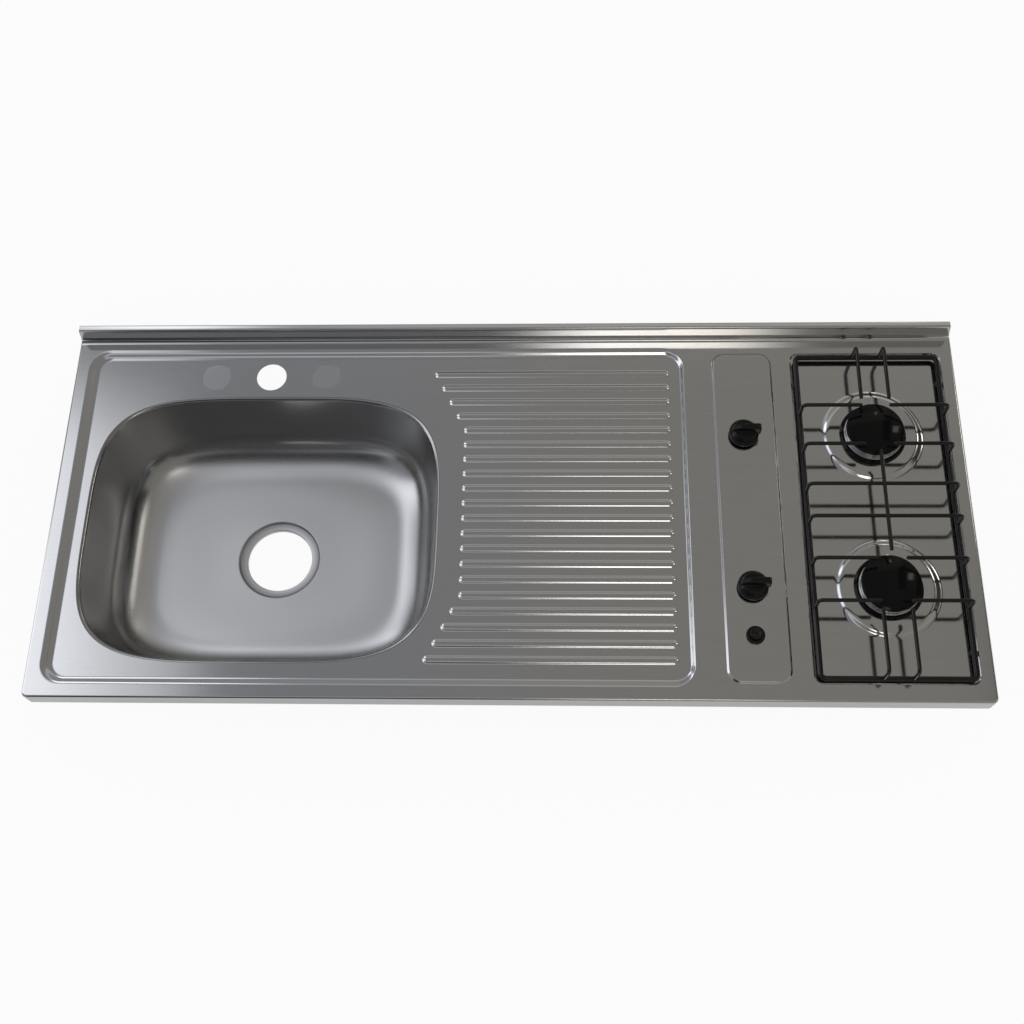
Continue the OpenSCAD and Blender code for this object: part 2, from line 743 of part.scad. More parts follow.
module inlet_elbow() color(brass) translate([control_x, inlet_y, -rail_z]) {
    socket = 14;
    difference() {
        union() {
            rod_y(-socket - 4, 0, elbow_r);
            sphere(r = elbow_r);
            rod_z(floor_top + rail_z, 0, elbow_r);
            rod_z(floor_z - 2 + rail_z, floor_top + rail_z, inlet_neck_r);
            rod_z(inlet_low + rail_z, floor_z - 2 + rail_z, inlet_r);
        }
        rod_y(-socket - 5, -rail_seat + 0.1, rail_r + run_gap);
        rod_y(-rail_seat - 2, 0, rail_r - rail_wall);
        rod_z(inlet_low + rail_z - 1, 0, rail_r - rail_wall);
    }
}

// Upright plates that carry the gas rail on the floor of the box
module rail_brackets() color(galvanised) {
    plate = 2;
    w = 3 * rail_r;
    for (y = [hob_cy - bracket_y, hob_cy + bracket_y]) translate([control_x, y, 0]) difference() {
        union() {
            translate([-w / 2, 0, floor_top]) cube([w, plate, -rail_z + 3 - floor_top]);
            translate([-w / 2, 0, floor_top]) cube([w, bracket_foot, plate]);
        }
        translate([0, 0, -rail_z]) rod_y(-1, plate + 1, rail_r + run_gap);
    }
}

// ---------- gas taps ----------

tap_low = rail_z - rail_r - 2;      // depths below the rim
tap_high = 10;
cover_t = 2;
plug_low = tap_low - 3;
plug_high = 22;
plug_r1 = 4.6;
plug_r2 = 7;
spring_bore_r = 8;
tongue = 5;                         // square end of the stem
collar_r = 6;
collar_low = 15;
collar_high = tap_high + run_gap;
push = 2.5;                         // travel of the stem
lug_y = 15;
lug_r = 4.5;
small_screw_r = 1.5;
outlet_r = 6.5;
outlet_x = 19;
stem_hole_r = 6;

module tap_outline() {
    circle(tap_body_r);
    for (s = [-1, 1]) translate([0, s * lug_y]) circle(lug_r);
    translate([-lug_r, -lug_y]) square([2 * lug_r, 2 * lug_y]);
}

module tap_body(y) color(brass) translate([control_x, y, 0]) difference() {
    union() {
        rod_z(-tap_low, -tap_high - 8, tap_body_r);
        translate([0, 0, -tap_high - 8]) linear_extrude(8) tap_outline();
        rod_z(-tap_low - 5, -tap_low, spigot_r);
        translate([0, 0, -gas_z]) rod_x(0, outlet_x, outlet_r);
    }
    translate([0, 0, -plug_low]) cylinder(r1 = plug_r1 + run_gap, r2 = plug_r2 + run_gap,
        h = plug_low - plug_high);
    rod_z(-plug_high, 0, spring_bore_r);
    rod_z(-tap_low - 6, -plug_low, 2);
    translate([0, 0, -gas_z]) rod_x(0, outlet_x + 1, 2);
    for (s = [-1, 1]) translate([0, s * lug_y, 0]) rod_z(-tap_high - 7, 0, small_screw_r + run_gap);
}

// The tapered plug has a cross port, and a square socket that the stem slides in
module tap_plug(y) color(brass) translate([control_x, y, 0]) difference() {
    gap = 0.3;
    translate([0, 0, -plug_low + gap]) cylinder(
        r1 = plug_r1 + (plug_r2 - plug_r1) * gap / (plug_low - plug_high), r2 = plug_r2,
        h = plug_low - plug_high - gap);
    // closed at rest: the port meets the outlet after a quarter turn
    translate([0, 0, -gas_z]) rod_y(-plug_r2 - 1, 1, 1.6);
    rod_z(-plug_low - 1, -gas_z, 1.6);
    socket = tongue + 2 * run_gap;
    translate([-socket / 2, -socket / 2, -gas_z + 2]) cube([socket, socket, gas_z]);
}

module tap_spring(y) color(steel) translate([control_x, y, -plug_high + run_gap])
    coil(5, 0.45, 4, plug_high - collar_low - 2 * run_gap);

module stem_flat() {
    translate([stem_r - 1, -stem_r]) square([2, 2 * stem_r]);
}

module tap_stem(y) color(steel) translate([control_x, y, 0]) {
    top = panel_h + knob_gap + knob_socket;
    translate([-tongue / 2, -tongue / 2, -gas_z + 2 + push + 0.5]) cube([tongue, tongue, gas_z - 16 - push]);
    rod_z(-collar_low, -collar_high, collar_r);
    difference() {
        rod_z(-collar_high, top, stem_r);
        translate([0, 0, panel_h + knob_gap - 1]) linear_extrude(top) stem_flat();
    }
}

module tap_covers() color(galvanised) {
    for (y = [front_y, rear_y]) translate([control_x, y, -tap_high]) linear_extrude(cover_t) difference() {
        tap_outline();
        circle(stem_r + 0.1);
        for (s = [-1, 1]) translate([0, s * lug_y]) circle(small_screw_r + run_gap);
    }
}

module tap_screws() color(galvanised) {
    for (y = [front_y, rear_y], s = [-1, 1]) translate([control_x, y + s * lug_y, 0]) {
        rod_z(-tap_high - 6, -tap_high + cover_t, small_screw_r);
        rod_z(-tap_high + cover_t, -tap_high + cover_t + 1.8, 2 * small_screw_r);
    }
}

module stem_grommets() color(rubber) {
    for (y = [front_y, rear_y]) translate([control_x, y, panel_h]) difference() {
        union() {
            rod_z(0, 0.4, stem_hole_r + 2.5);
            rod_z(-sheet_t - 1, 0, stem_hole_r - run_gap);
        }
        rod_z(-5, 5, stem_r + 0.2);
    }
}

// ---------- knobs ----------

knob_socket = 14;       // depth of the stem in the knob
dish_r = 34;            // radius of the finger hollows

module wing_outline() {
    w = wing_w / 2;
    polygon([[-knob_r + 3, -w * 0.7], [wing_l - 2, -w], [wing_l, -w + 2], [wing_l, w - 2],
             [wing_l - 2, w], [-knob_r + 3, w * 0.7]]);
}

module knob(y) color(black_plastic) translate([control_x, y, panel_h + knob_gap]) difference() {
    union() {
        // skirt with a rounded edge, and a body that narrows to the top
        rotate_extrude() {
            square([knob_r, skirt_h - 2]);
            square([knob_r - 2, skirt_h]);
            translate([knob_r - 2, skirt_h - 2]) circle(2);
        }
        translate([0, 0, skirt_h]) cylinder(r1 = knob_r - 2, r2 = knob_r - 5, h = knob_h / 3);
        intersection() {
            translate([0, 0, skirt_h]) linear_extrude(knob_h - skirt_h) wing_outline();
            // the wing falls away to the rear end
            translate([0, 30, 0]) rotate([90, 0, 0]) linear_extrude(60) polygon([
                [-knob_r, 0], [wing_l + 1, 0], [wing_l + 1, knob_h - 3], [wing_l - 3, knob_h],
                [-knob_r * 0.3, knob_h], [-knob_r, knob_h - 7]]);
        }
    }
    // finger hollows on both sides of the wing
    for (s = [-1, 1]) translate([0, s * (wing_w / 2 + dish_r - 1), skirt_h + dish_r * 0.82])
        intersection() {
            rod_x(-knob_r, knob_r, dish_r);
            translate([-knob_r, s > 0 ? -dish_r + 1 : -1 - knob_r, -dish_r])
                cube([2 * knob_r, knob_r + dish_r, 2 * dish_r]);
        }
    // socket with a flat, for the stem
    difference() {
        rod_z(-1, knob_socket + run_gap, stem_r + run_gap);
        translate([run_gap, 0, -2]) linear_extrude(knob_socket + 4) stem_flat();
    }
    // hollow under the skirt
    difference() {
        rod_z(-1, skirt_h - 2, knob_r - 2);
        rod_z(-2, skirt_h, stem_r + 3);
    }
}

// ---------- pipes and injectors ----------

nut_x0 = control_x + outlet_x - 5;
pipe_x0 = control_x + outlet_x + 0.1;
injector_x = hob_cx - venturi_l - 30;   // rear face of the injector
injector_l = 20;
neck_r = 4.9;
nut_l = 13;
nut_flats = 17;

module gas_line(y) translate([0, y, -gas_z]) children();

module supply_pipes() color(cast_aluminium) {
    for (y = [front_y, rear_y]) gas_line(y) difference() {
        rod_x(pipe_x0, injector_x - 0.1, pipe_r);
        rod_x(pipe_x0 - 1, injector_x + 1, pipe_r - 1);
    }
}

module pipe_nuts() color(brass) {
    for (y = [front_y, rear_y]) gas_line(y) {
        difference() {
            hex_x(nut_x0, nut_x0 + nut_l, nut_flats);
            rod_x(nut_x0 - 1, pipe_x0, outlet_r + run_gap);
            rod_x(pipe_x0 - 1, nut_x0 + nut_l + 1, pipe_r + run_gap);
        }
        difference() {
            hex_x(injector_x - 12, injector_x - 0.1, 12);
            rod_x(injector_x - 13, injector_x, pipe_r + run_gap);
        }
    }
}

module injector(y) color(brass) gas_line(y) difference() {
    union() {
        hex_x(injector_x, injector_x + 6, 12);
        rod_x(injector_x + 6, injector_x + 12, neck_r);
        translate([injector_x + 12, 0, 0]) rotate([0, 90, 0]) cylinder(r1 = 4, r2 = 2, h = injector_l - 12);
    }
    rod_x(injector_x - 1, injector_x + injector_l - 2, 1.6);
    rod_x(injector_x, injector_x + injector_l + 1, 0.4);
}

module injector_brackets() color(galvanised) {
    w = 18;
    plate = 2;
    for (y = [front_y, rear_y]) translate([injector_x + 7, y, 0]) difference() {
        union() {
            translate([0, -w / 2, floor_top]) cube([plate, w, -gas_z + 10 - floor_top]);
            translate([-14, -w / 2, floor_top]) cube([16, w, plate]);
        }
        translate([0, 0, -gas_z]) rod_x(-1, plate + 1, neck_r + run_gap);
    }
}

// ---------- burners ----------

cup_flange_r = 43;
cup_flange_t = 3;
cup_low = -gas_z - venturi_r - 4;
cup_low_r = 20;
spigot_top = base_z + 1.5;
burner_screw_pcr = 36.5;
ceramic_r = 2.5;
spark_hole_r = ceramic_r + 0.4;

module at_burner(y) translate([hob_cx, y, 0]) children();

module burner_screw_places(y) {
    for (a = [30, 150, 270]) translate([hob_cx + burner_screw_pcr * cos(a), y + burner_screw_pcr * sin(a), 0])
        children();
}

// The cup with its mixing tube: one casting
module burner_cup(y) color(cast_aluminium) difference() {
    at_burner(y) difference() {
        union() {
            rotate_extrude() polygon([
                [0, cup_low], [cup_low_r, cup_low], [cup_low_r + 2, cup_low + 8], [cup_r, under_boss - 8],
                [cup_r, under_boss - cup_flange_t], [cup_flange_r, under_boss - cup_flange_t],
                [cup_flange_r, under_boss], [cup_r, under_boss], [cup_r, spigot_top], [0, spigot_top]
            ]);
            translate([0, 0, -gas_z]) {
                rod_x(-venturi_l, 0, venturi_r);
                translate([-venturi_l, 0, 0]) rotate([0, 90, 0])
                    cylinder(r1 = venturi_r + 3, r2 = venturi_r, h = 10);
            }
        }
        rotate_extrude() polygon([
            [0, cup_low + cup_wall], [cup_low_r - cup_wall, cup_low + cup_wall],
            [cup_low_r + 2 - cup_wall, cup_low + 8], [cup_r - cup_wall, under_boss - 8],
            [cup_r - cup_wall, spigot_top + 1], [0, spigot_top + 1]
        ]);
        translate([0, 0, -gas_z]) {
            rod_x(-venturi_l - 1, 0, venturi_r - 2);
            translate([-venturi_l - 0.01, 0, 0]) rotate([0, 90, 0])
                cylinder(r1 = venturi_r + 1, r2 = venturi_r - 2, h = 10);
        }
        translate([0, spark_r, 0]) rod_z(-20, 20, spark_hole_r + 0.6);
    }
    burner_screw_places(y) rod_z(-20, 20, screw_r + run_gap);
}

module burner_screws() color(galvanised) {
    for (y = [front_y, rear_y]) burner_screw_places(y) {
        rod_z(under_boss - cup_flange_t - 2, boss_z, screw_r);
        rod_z(boss_z, boss_z + 1.6, 1.7 * screw_r);
    }
}

// Enamelled ring that hides the screws
module base_ring(y) color(black_enamel) at_burner(y) difference() {
    wall = 1.5;
    r0 = cup_r + 0.5;
    translate([0, 0, boss_z]) rotate_extrude() difference() {
        polygon([[r0, 0], [base_r, 0], [base_r, 1.5], [base_r - 0.7, 2.6], [base_r - 3, base_h],
                 [r0, base_h]]);
        polygon([[r0 + wall, -1], [base_r - wall, -1], [base_r - wall, 1], [base_r - 3.8, base_h - wall],
                 [r0 + wall, base_h - wall]]);
    }
    translate([0, spark_r, 0]) rod_z(-20, 20, spark_hole_r);
}

// Cast head: a polished flange and a ring of flame ports
module burner_head(y) color(cast_aluminium) at_burner(y) {
    bore = cup_r + run_gap;
    bowl_r = head_r - 7;
    port_z = head_h - 6;
    well_z = spigot_top - base_z + run_gap;
    difference() {
        translate([0, 0, base_z]) rotate_extrude() difference() {
            polygon([[0, 0], [head_flange_r, 0], [head_flange_r, 1.2], [head_r + 1.6, 3.4], [head_r, 4.4],
                     [head_r, head_h], [0, head_h]]);
            polygon([[0, -1], [bore, -1], [bore, well_z], [bowl_r, well_z],
                     [bowl_r, head_h + 1], [0, head_h + 1]]);
        }
        for (i = [0 : port_n - 1]) rotate(360 * (i + 0.5) / port_n)
            translate([bowl_r - 2, -port_w / 2, base_z + port_z]) cube([12, port_w, 4]);
        translate([0, spark_r, 0]) rod_z(-20, 40, spark_hole_r + 0.6);
    }
}

// Domed enamelled cap with a locating ring
module burner_cap(y) color(black_enamel) at_burner(y) translate([0, 0, head_z]) {
    edge = 3;
    dome = cap_h - edge;
    dome_r = (cap_r * cap_r + dome * dome) / (2 * dome);
    ring_r = head_r - 7 - 0.4;
    difference() {
        union() {
            cylinder(r = cap_r, h = edge);
            intersection() {
                translate([0, 0, cap_h - dome_r]) sphere(r = dome_r, $fn = 200);
                translate([0, 0, edge]) cylinder(r = cap_r, h = cap_h);
            }
            rod_z(-3, 0, ring_r);
        }
        rod_z(-4, edge - 0.5, ring_r - 2);
    }
}

// ---------- ignition ----------

ceramic_low = -14;
pin_r = 1;
lead_z = floor_top + 9;
terminal_y = 5;
terminal_r = 1.2;
body_low = -46;
bore_r = 5.5;
spring_low = -32;
plunger_low = -20;
button_travel = 4;
button_in = 1.5;        // how far the button reaches into its bezel

module electrode(y) translate([hob_cx, y + spark_r, 0]) {
    top = base_z + 6;
    color("white") {
        rod_z(ceramic_low, top, ceramic_r);
        rod_z(under_boss - 3.4, under_boss - 0.1, ceramic_r + 0.7);
    }
    color(steel) rod_z(top, top + 4, pin_r);
}

// Each lead drops to the floor of the box, runs beside the gas rail and rises to its terminal
module ignition_lead(y, run_x, end_y) color("red") {
    wire([
        [hob_cx, y + spark_r, ceramic_low - 0.1], [hob_cx, y + spark_r, lead_z],
        [run_x, y + spark_r, lead_z], [run_x, end_y, lead_z], [control_x, end_y, lead_z],
        [control_x, end_y, body_low - 4.1]
    ], lead_r);
}

module igniter_body() color(black_plastic) translate([control_x, igniter_front, 0]) difference() {
    top = panel_h + bezel_h;
    union() {
        rod_z(body_low, panel_h, igniter_r);
        rotate_extrude() {
            translate([0, panel_h]) square([bezel_r, bezel_h - 1]);
            translate([0, panel_h]) square([bezel_r - 1, bezel_h]);
            translate([bezel_r - 1, top - 1]) circle(1);
        }
        for (s = [-1, 1]) translate([0, s * terminal_y, 0]) rod_z(body_low - 4, body_low, terminal_r);
    }
    rod_z(spring_low, top + 1, bore_r);
    rod_z(top - button_in - button_travel - 0.4, top + 1, button_r + 0.15);
}

module igniter_nut() color(black_plastic) translate([control_x, igniter_front, 0]) difference() {
    rod_z(panel_h - sheet_t - 5, panel_h - sheet_t, igniter_r + 4);
    rod_z(-20, 20, igniter_r + run_gap);
}

module igniter_button() color(black_plastic) translate([control_x, igniter_front, 0]) {
    top = panel_h + bezel_h;
    rod_z(plunger_low, top, bore_r - 0.1);
    rotate_extrude() {
        translate([0, top - button_in]) square([button_r, button_in + button_h - 1.5]);
        translate([0, top]) square([button_r - 1.5, button_h]);
        intersection() {
            translate([button_r - 1.5, top + button_h - 1.5]) circle(1.5);
            translate([0, top]) square([button_r, button_h]);
        }
    }
}

module igniter_spring() color(steel) translate([control_x, igniter_front, spring_low + run_gap])
    coil(4, 0.5, 6, plunger_low - spring_low - 2 * run_gap);

// ---------- pan support ----------

grid_x0 = hob_x0 + grid_side + rod_r;       // centre lines of the frame
grid_x1 = hob_x1 - grid_side - rod_r;
grid_y0 = hob_y0 + grid_front + rod_r;
grid_y1 = hob_y1 - grid_rear - rod_r;
bend_line_r = grid_r - rod_r;

module frame_bars() {
    in = bend_line_r;
    for (x = [grid_x0, grid_x1]) translate([x, 0, 0]) rod_y(grid_y0 + in, grid_y1 - in, rod_r);
    for (y = [grid_y0, grid_y1]) translate([0, y, 0]) rod_x(grid_x0 + in, grid_x1 - in, rod_r);
    corners = [[grid_x1, grid_y1, -1, -1, 0], [grid_x0, grid_y1, 1, -1, 90],
               [grid_x0, grid_y0, 1, 1, 180], [grid_x1, grid_y0, -1, 1, 270]];
    for (c = corners) translate([c[0] + c[2] * in, c[1] + c[3] * in, 0]) rotate(c[4])
        rotate_extrude(angle = 90) translate([in, 0]) circle(rod_r);
}

module pan_support_frame() color(black_enamel) translate([0, 0, grid_z]) frame_bars();

// A finger stands up from a bar at the origin, bends and runs to length l along +x
module finger(l) {
    h = finger_z - grid_z;
    rod_z(rod_r - 1.2, h - finger_bend, wire_r);
    translate([finger_bend, 0, h - finger_bend]) rotate([90, 0, 0]) rotate([0, 0, 90])
        rotate_extrude(angle = 90) translate([finger_bend, 0]) circle(wire_r);
    translate([0, 0, h]) rod_x(finger_bend, l, wire_r);
    translate([l, 0, h]) sphere(r = wire_r);
}

module pan_support_fingers() color(black_enamel) translate([0, 0, grid_z]) {
    side_l = hob_cx - grid_x0 - finger_tip;
    for (y = [front_y, rear_y], s = [-1, 1]) {
        translate([grid_x0, y + s * finger_y, 0]) finger(side_l);
        translate([grid_x1, y + s * finger_y, 0]) rotate(180) finger(side_l);
    }
    for (s = [-1, 1]) {
        translate([hob_cx + s * finger_x, grid_y1, 0]) rotate(270) finger(grid_y1 - rear_y - end_tip);
        translate([hob_cx + s * finger_x, grid_y0, 0]) rotate(90) finger(front_y - grid_y0 - end_tip);
    }
}

// Two wires right across, joined by one along the middle
module pan_support_bridge() color(black_enamel) translate([0, 0, grid_z]) {
    for (s = [-1, 1]) translate([0, hob_cy + s * mid_y, 0]) {
        translate([grid_x0, 0, 0]) finger(hob_cx - grid_x0);
        translate([grid_x1, 0, 0]) rotate(180) finger(grid_x1 - hob_cx);
    }
    reach = burner_pitch / 2 - end_tip;
    translate([hob_cx, hob_cy, finger_z - grid_z + 1]) {
        rod_y(-reach, reach, wire_r);
        for (s = [-1, 1]) translate([0, s * reach, 0]) sphere(r = wire_r);
    }
}

module pan_support_feet() color(rubber) {
    for (x = [grid_x0, grid_x1], y = [grid_y0 + foot_in, grid_y1 - foot_in]) difference() {
        translate([x, y, 0]) rod_z(-hob_drop, grid_z - rod_r + 1, foot_r);
        translate([x, 0, grid_z]) rod_y(y - 2 * foot_r, y + 2 * foot_r, rod_r + run_gap);
    }
}

// ---------- assembly ----------

seat_frame() worktop();
seat_frame() sink_bowl();
seat_frame() rear_rail();
seat_frame() front_rail();
seat_frame() drainer_channels();
seat_frame() burner_box();
seat_frame() box_floor();
seat_frame() floor_screws();
seat_frame() gas_rail();
seat_frame() rail_brackets();
seat_frame() inlet_elbow();
seat_frame() tap_body(rear_y);  // tap_body_rear
seat_frame() tap_body(front_y);  // tap_body_front
seat_frame() tap_plug(rear_y);  // tap_plug_rear
seat_frame() tap_plug(front_y);  // tap_plug_front
seat_frame() tap_spring(rear_y);  // tap_spring_rear
seat_frame() tap_spring(front_y);  // tap_spring_front
seat_frame() tap_stem(rear_y);  // tap_stem_rear
seat_frame() tap_stem(front_y);  // tap_stem_front
seat_frame() tap_covers();
seat_frame() tap_screws();
seat_frame() knob(rear_y);  // knob_rear
seat_frame() knob(front_y);  // knob_front
seat_frame() stem_grommets();
seat_frame() supply_pipes();
seat_frame() pipe_nuts();
seat_frame() injector(rear_y);  // injector_rear
seat_frame() injector(front_y);  // injector_front
seat_frame() injector_brackets();
seat_frame() burner_cup(rear_y);  // burner_cup_rear
seat_frame() burner_cup(front_y);  // burner_cup_front
seat_frame() burner_screws();
seat_frame() base_ring(rear_y);  // base_ring_rear
seat_frame() base_ring(front_y);  // base_ring_front
seat_frame() burner_head(rear_y);  // burner_head_rear
seat_frame() burner_head(front_y);  // burner_head_front
seat_frame() burner_cap(rear_y);  // burner_cap_rear
seat_frame() burner_cap(front_y);  // burner_cap_front
seat_frame() electrode(rear_y);  // electrode_rear
seat_frame() electrode(front_y);  // electrode_front
seat_frame() {  // ignition_lead_rear
    ignition_lead(rear_y, control_x + 38, igniter_front + terminal_y);
}
seat_frame() {  // ignition_lead_front
    ignition_lead(front_y, control_x + 45, igniter_front - terminal_y);
}
seat_frame() igniter_body();
seat_frame() igniter_nut();
seat_frame() igniter_button();
seat_frame() igniter_spring();
seat_frame() pan_support_frame();
seat_frame() pan_support_fingers();
seat_frame() pan_support_bridge();
seat_frame() pan_support_feet();
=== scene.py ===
import json
import math
from collections import namedtuple
from types import SimpleNamespace

import bmesh
import bpy
import numpy as np
from mathutils import Matrix, Vector
from mathutils.geometry import delaunay_2d_cdt


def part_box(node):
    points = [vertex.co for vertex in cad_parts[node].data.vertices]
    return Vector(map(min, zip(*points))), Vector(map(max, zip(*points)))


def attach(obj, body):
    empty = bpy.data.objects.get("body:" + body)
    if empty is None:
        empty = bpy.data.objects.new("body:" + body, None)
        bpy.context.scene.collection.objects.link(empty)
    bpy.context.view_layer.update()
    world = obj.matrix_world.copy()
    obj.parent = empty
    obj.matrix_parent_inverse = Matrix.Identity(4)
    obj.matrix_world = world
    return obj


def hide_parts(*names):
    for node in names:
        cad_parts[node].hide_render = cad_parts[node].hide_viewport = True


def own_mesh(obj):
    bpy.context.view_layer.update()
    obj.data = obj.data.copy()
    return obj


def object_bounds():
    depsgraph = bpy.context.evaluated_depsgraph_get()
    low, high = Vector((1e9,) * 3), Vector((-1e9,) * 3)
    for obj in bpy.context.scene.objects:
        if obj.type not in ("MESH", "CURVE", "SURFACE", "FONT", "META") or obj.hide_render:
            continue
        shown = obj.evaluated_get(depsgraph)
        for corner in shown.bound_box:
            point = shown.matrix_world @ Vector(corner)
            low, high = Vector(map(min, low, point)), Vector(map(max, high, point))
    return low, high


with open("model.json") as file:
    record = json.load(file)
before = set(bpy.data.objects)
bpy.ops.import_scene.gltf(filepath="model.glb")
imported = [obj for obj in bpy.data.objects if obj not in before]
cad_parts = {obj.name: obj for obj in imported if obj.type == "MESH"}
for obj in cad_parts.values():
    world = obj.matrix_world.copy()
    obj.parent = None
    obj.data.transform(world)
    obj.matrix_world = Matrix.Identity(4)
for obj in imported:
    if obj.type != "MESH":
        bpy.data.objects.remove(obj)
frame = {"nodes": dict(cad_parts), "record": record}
cad_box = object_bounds()

bl_info = {
    "name": "Kitchenette worktop",
    "version": (1, 0, 0),
    "blender": (4, 5, 0),
    "location": "3D View > Sidebar > Kitchenette",
    "description": "Builds the pressed worktop, its bowl and its hob around the packed model",
    "category": "Object",
}

# Lengths are metres. Pieces are drawn from the worktop's front left corner, with z up from its flat rim.
RIM_HEIGHT = 0.028                  # the upstand's top above the rim
_low, _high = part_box("worktop")
CORNER = np.array([_low[0], _low[1], _high[2] - RIM_HEIGHT])
WELD = 1e-5                         # points closer than this are one
SMALL = 1e-12                       # keeps a division from failing

TENT_RADIUS = 3.4
FLOOR_HALF = 4.0                    # half the side of the floor
# Soft lamps on the tent, as shares of its radius: from x, to x, soft edge in x, from y, to y, soft edge in y,
# brightness
STUDIO_LAMPS = ((0.07, 0.19, 0.12, -0.425, -0.375, 0.07, 3.2),     # upstand, front of the ribs
                (-0.5, -0.12, 0.15, -0.22, -0.16, 0.12, 0.4),      # rear border of the pan, rear of the bowl
                (0.69, 0.72, 0.05, 0.4, 0.48, 0.05, 4.0),          # ends of the ribs, left side of the bowl
                (-0.6, -0.4, 0.16, 0.65, 0.76, 0.04, 1.6),         # left part of the upstand's top
                (-0.2, 0.5, 0.1, 0.65, 0.8, 0.04, 0.2),            # rest of the upstand's top
                (0.36, 0.36, 0.04, 0.78, 0.78, 0.04, 4.0))         # spots on the burner caps
# Dark cards on the tent, in the same way
STUDIO_CARDS = ((0.51, 0.6, 0.05, 0.2, 0.62, 0.08),                # left side of the bowl
                (-0.55, -0.05, 0.1, -0.85, -0.52, 0.06),           # rear side of the bowl
                (0.82, 0.98, 0.04, 0.1, 0.6, 0.1))                 # right border of the control panel

# The camera, fitted to the photograph's outline
CAMERA_PLACE = (0.0739, -0.4223, 1.5617)
CAMERA_TURN = (66.473, 5.6986, -5.1799)      # elevation, azimuth and roll in degrees
CAMERA_LENS, CAMERA_SENSOR = 45.334, 36      # millimetres


def length(name, description, metres):
    """A property in metres"""
    return bpy.props.FloatProperty(name=name, description=description, default=metres, min=0, precision=4,
                                   unit="LENGTH")


def number(name, description, default):
    """A property that counts"""
    return bpy.props.IntProperty(name=name, description=description, default=default, min=1)


def share(name, description, default):
    """A property from 0 to 1"""
    return bpy.props.FloatProperty(name=name, description=description, default=default, min=0, max=1,
                                   subtype="FACTOR")


def colour(name, description, default):
    """A property that is a colour"""
    return bpy.props.FloatVectorProperty(name=name, description=description, default=default, min=0, max=1,
                                         subtype="COLOR")


class SheetSizes(bpy.types.PropertyGroup):
    """The pressed sheet: folded edge, upstand, sunken pan and drainer ribs"""
    span: length("Length", "Length of the worktop", 1.2)
    depth: length("Depth", "From the front edge to the face of the upstand", 0.51)
    gauge: length("Sheet", "Thickness of the stainless sheet", 0.001)
    skirt: length("Edge height", "Height of the folded edge", 0.025)
    hem: length("Return", "Width of the return under the folded edge", 0.015)
    fold: length("Fold radius", "Radius of the fold along the top edge", 0.0035)
    hem_fold: length("Return fold", "Radius of the fold above the return", 0.0015)
    corner: length("Corner radius", "Plan radius of the front corners", 0.008)
    bend: length("Upstand bend", "Radius where the rim turns up", 0.006)
    top: length("Upstand top", "Depth of the flat top of the upstand", 0.01)
    nose: length("Upstand nose", "Radius of the upstand's top bends", 0.003)
    lip: length("Upstand lip", "Depth of the lip behind the upstand", 0.006)
    fall: length("Upstand fall", "Fall of the upstand's flat top to the rear", 0.0006)
    lean: length("End lean", "How far the upstand's ends lean in", 0.004)
    pan_left: length("Pan left", "Rim width at the left", 0.017)
    pan_right: length("Pan right", "Right edge of the pan, from the left edge", 0.838)
    pan_front: length("Pan front", "Rim width at the front", 0.016)
    pan_rear: length("Pan rear", "Flat strip between the pan and the upstand", 0.014)
    pan_drop: length("Pan depth", "Depth of the pan below the rim", 0.005)
    pan_outer: length("Pan outer radius", "Plan radius of the pan's outer corners", 0.03)
    slope_left: length("Left slope", "Width of the pan's sloped border at the left", 0.016)
    slope_right: length("Right slope", "Width of the pan's sloped border at the right", 0.007)
    slope_front: length("Front slope", "Width of the pan's sloped border at the front", 0.014)
    slope_rear: length("Rear slope", "Width of the pan's sloped border at the rear", 0.015)
    pan_inner: length("Pan inner radius", "Plan radius of the pan's inner corners", 0.018)
    rib_count: number("Ribs", "Number of drainer ribs", 20)
    rib_width: length("Rib width", "Width of a rib", 0.0132)
    rib_height: length("Rib height", "Height of a rib", 0.0014)
    rib_crest: length("Rib crest", "Width of a rib's flat top", 0.0026)
    rib_pitch: length("Rib spacing", "Spacing of the ribs", 0.0213)
    rib_front: length("First rib", "First rib's centre line from the front edge", 0.0525)
    rib_left: length("Ribs' left", "Left end of the middle ribs", 0.54)
    rib_right: length("Ribs' right", "Right end of the ribs", 0.818)
    rib_step: length("Rib step", "How much further left each outer rib starts", 0.0105)
    rib_stepped: number("Stepped ribs", "Ribs at each side of the drainer that are stepped", 4)


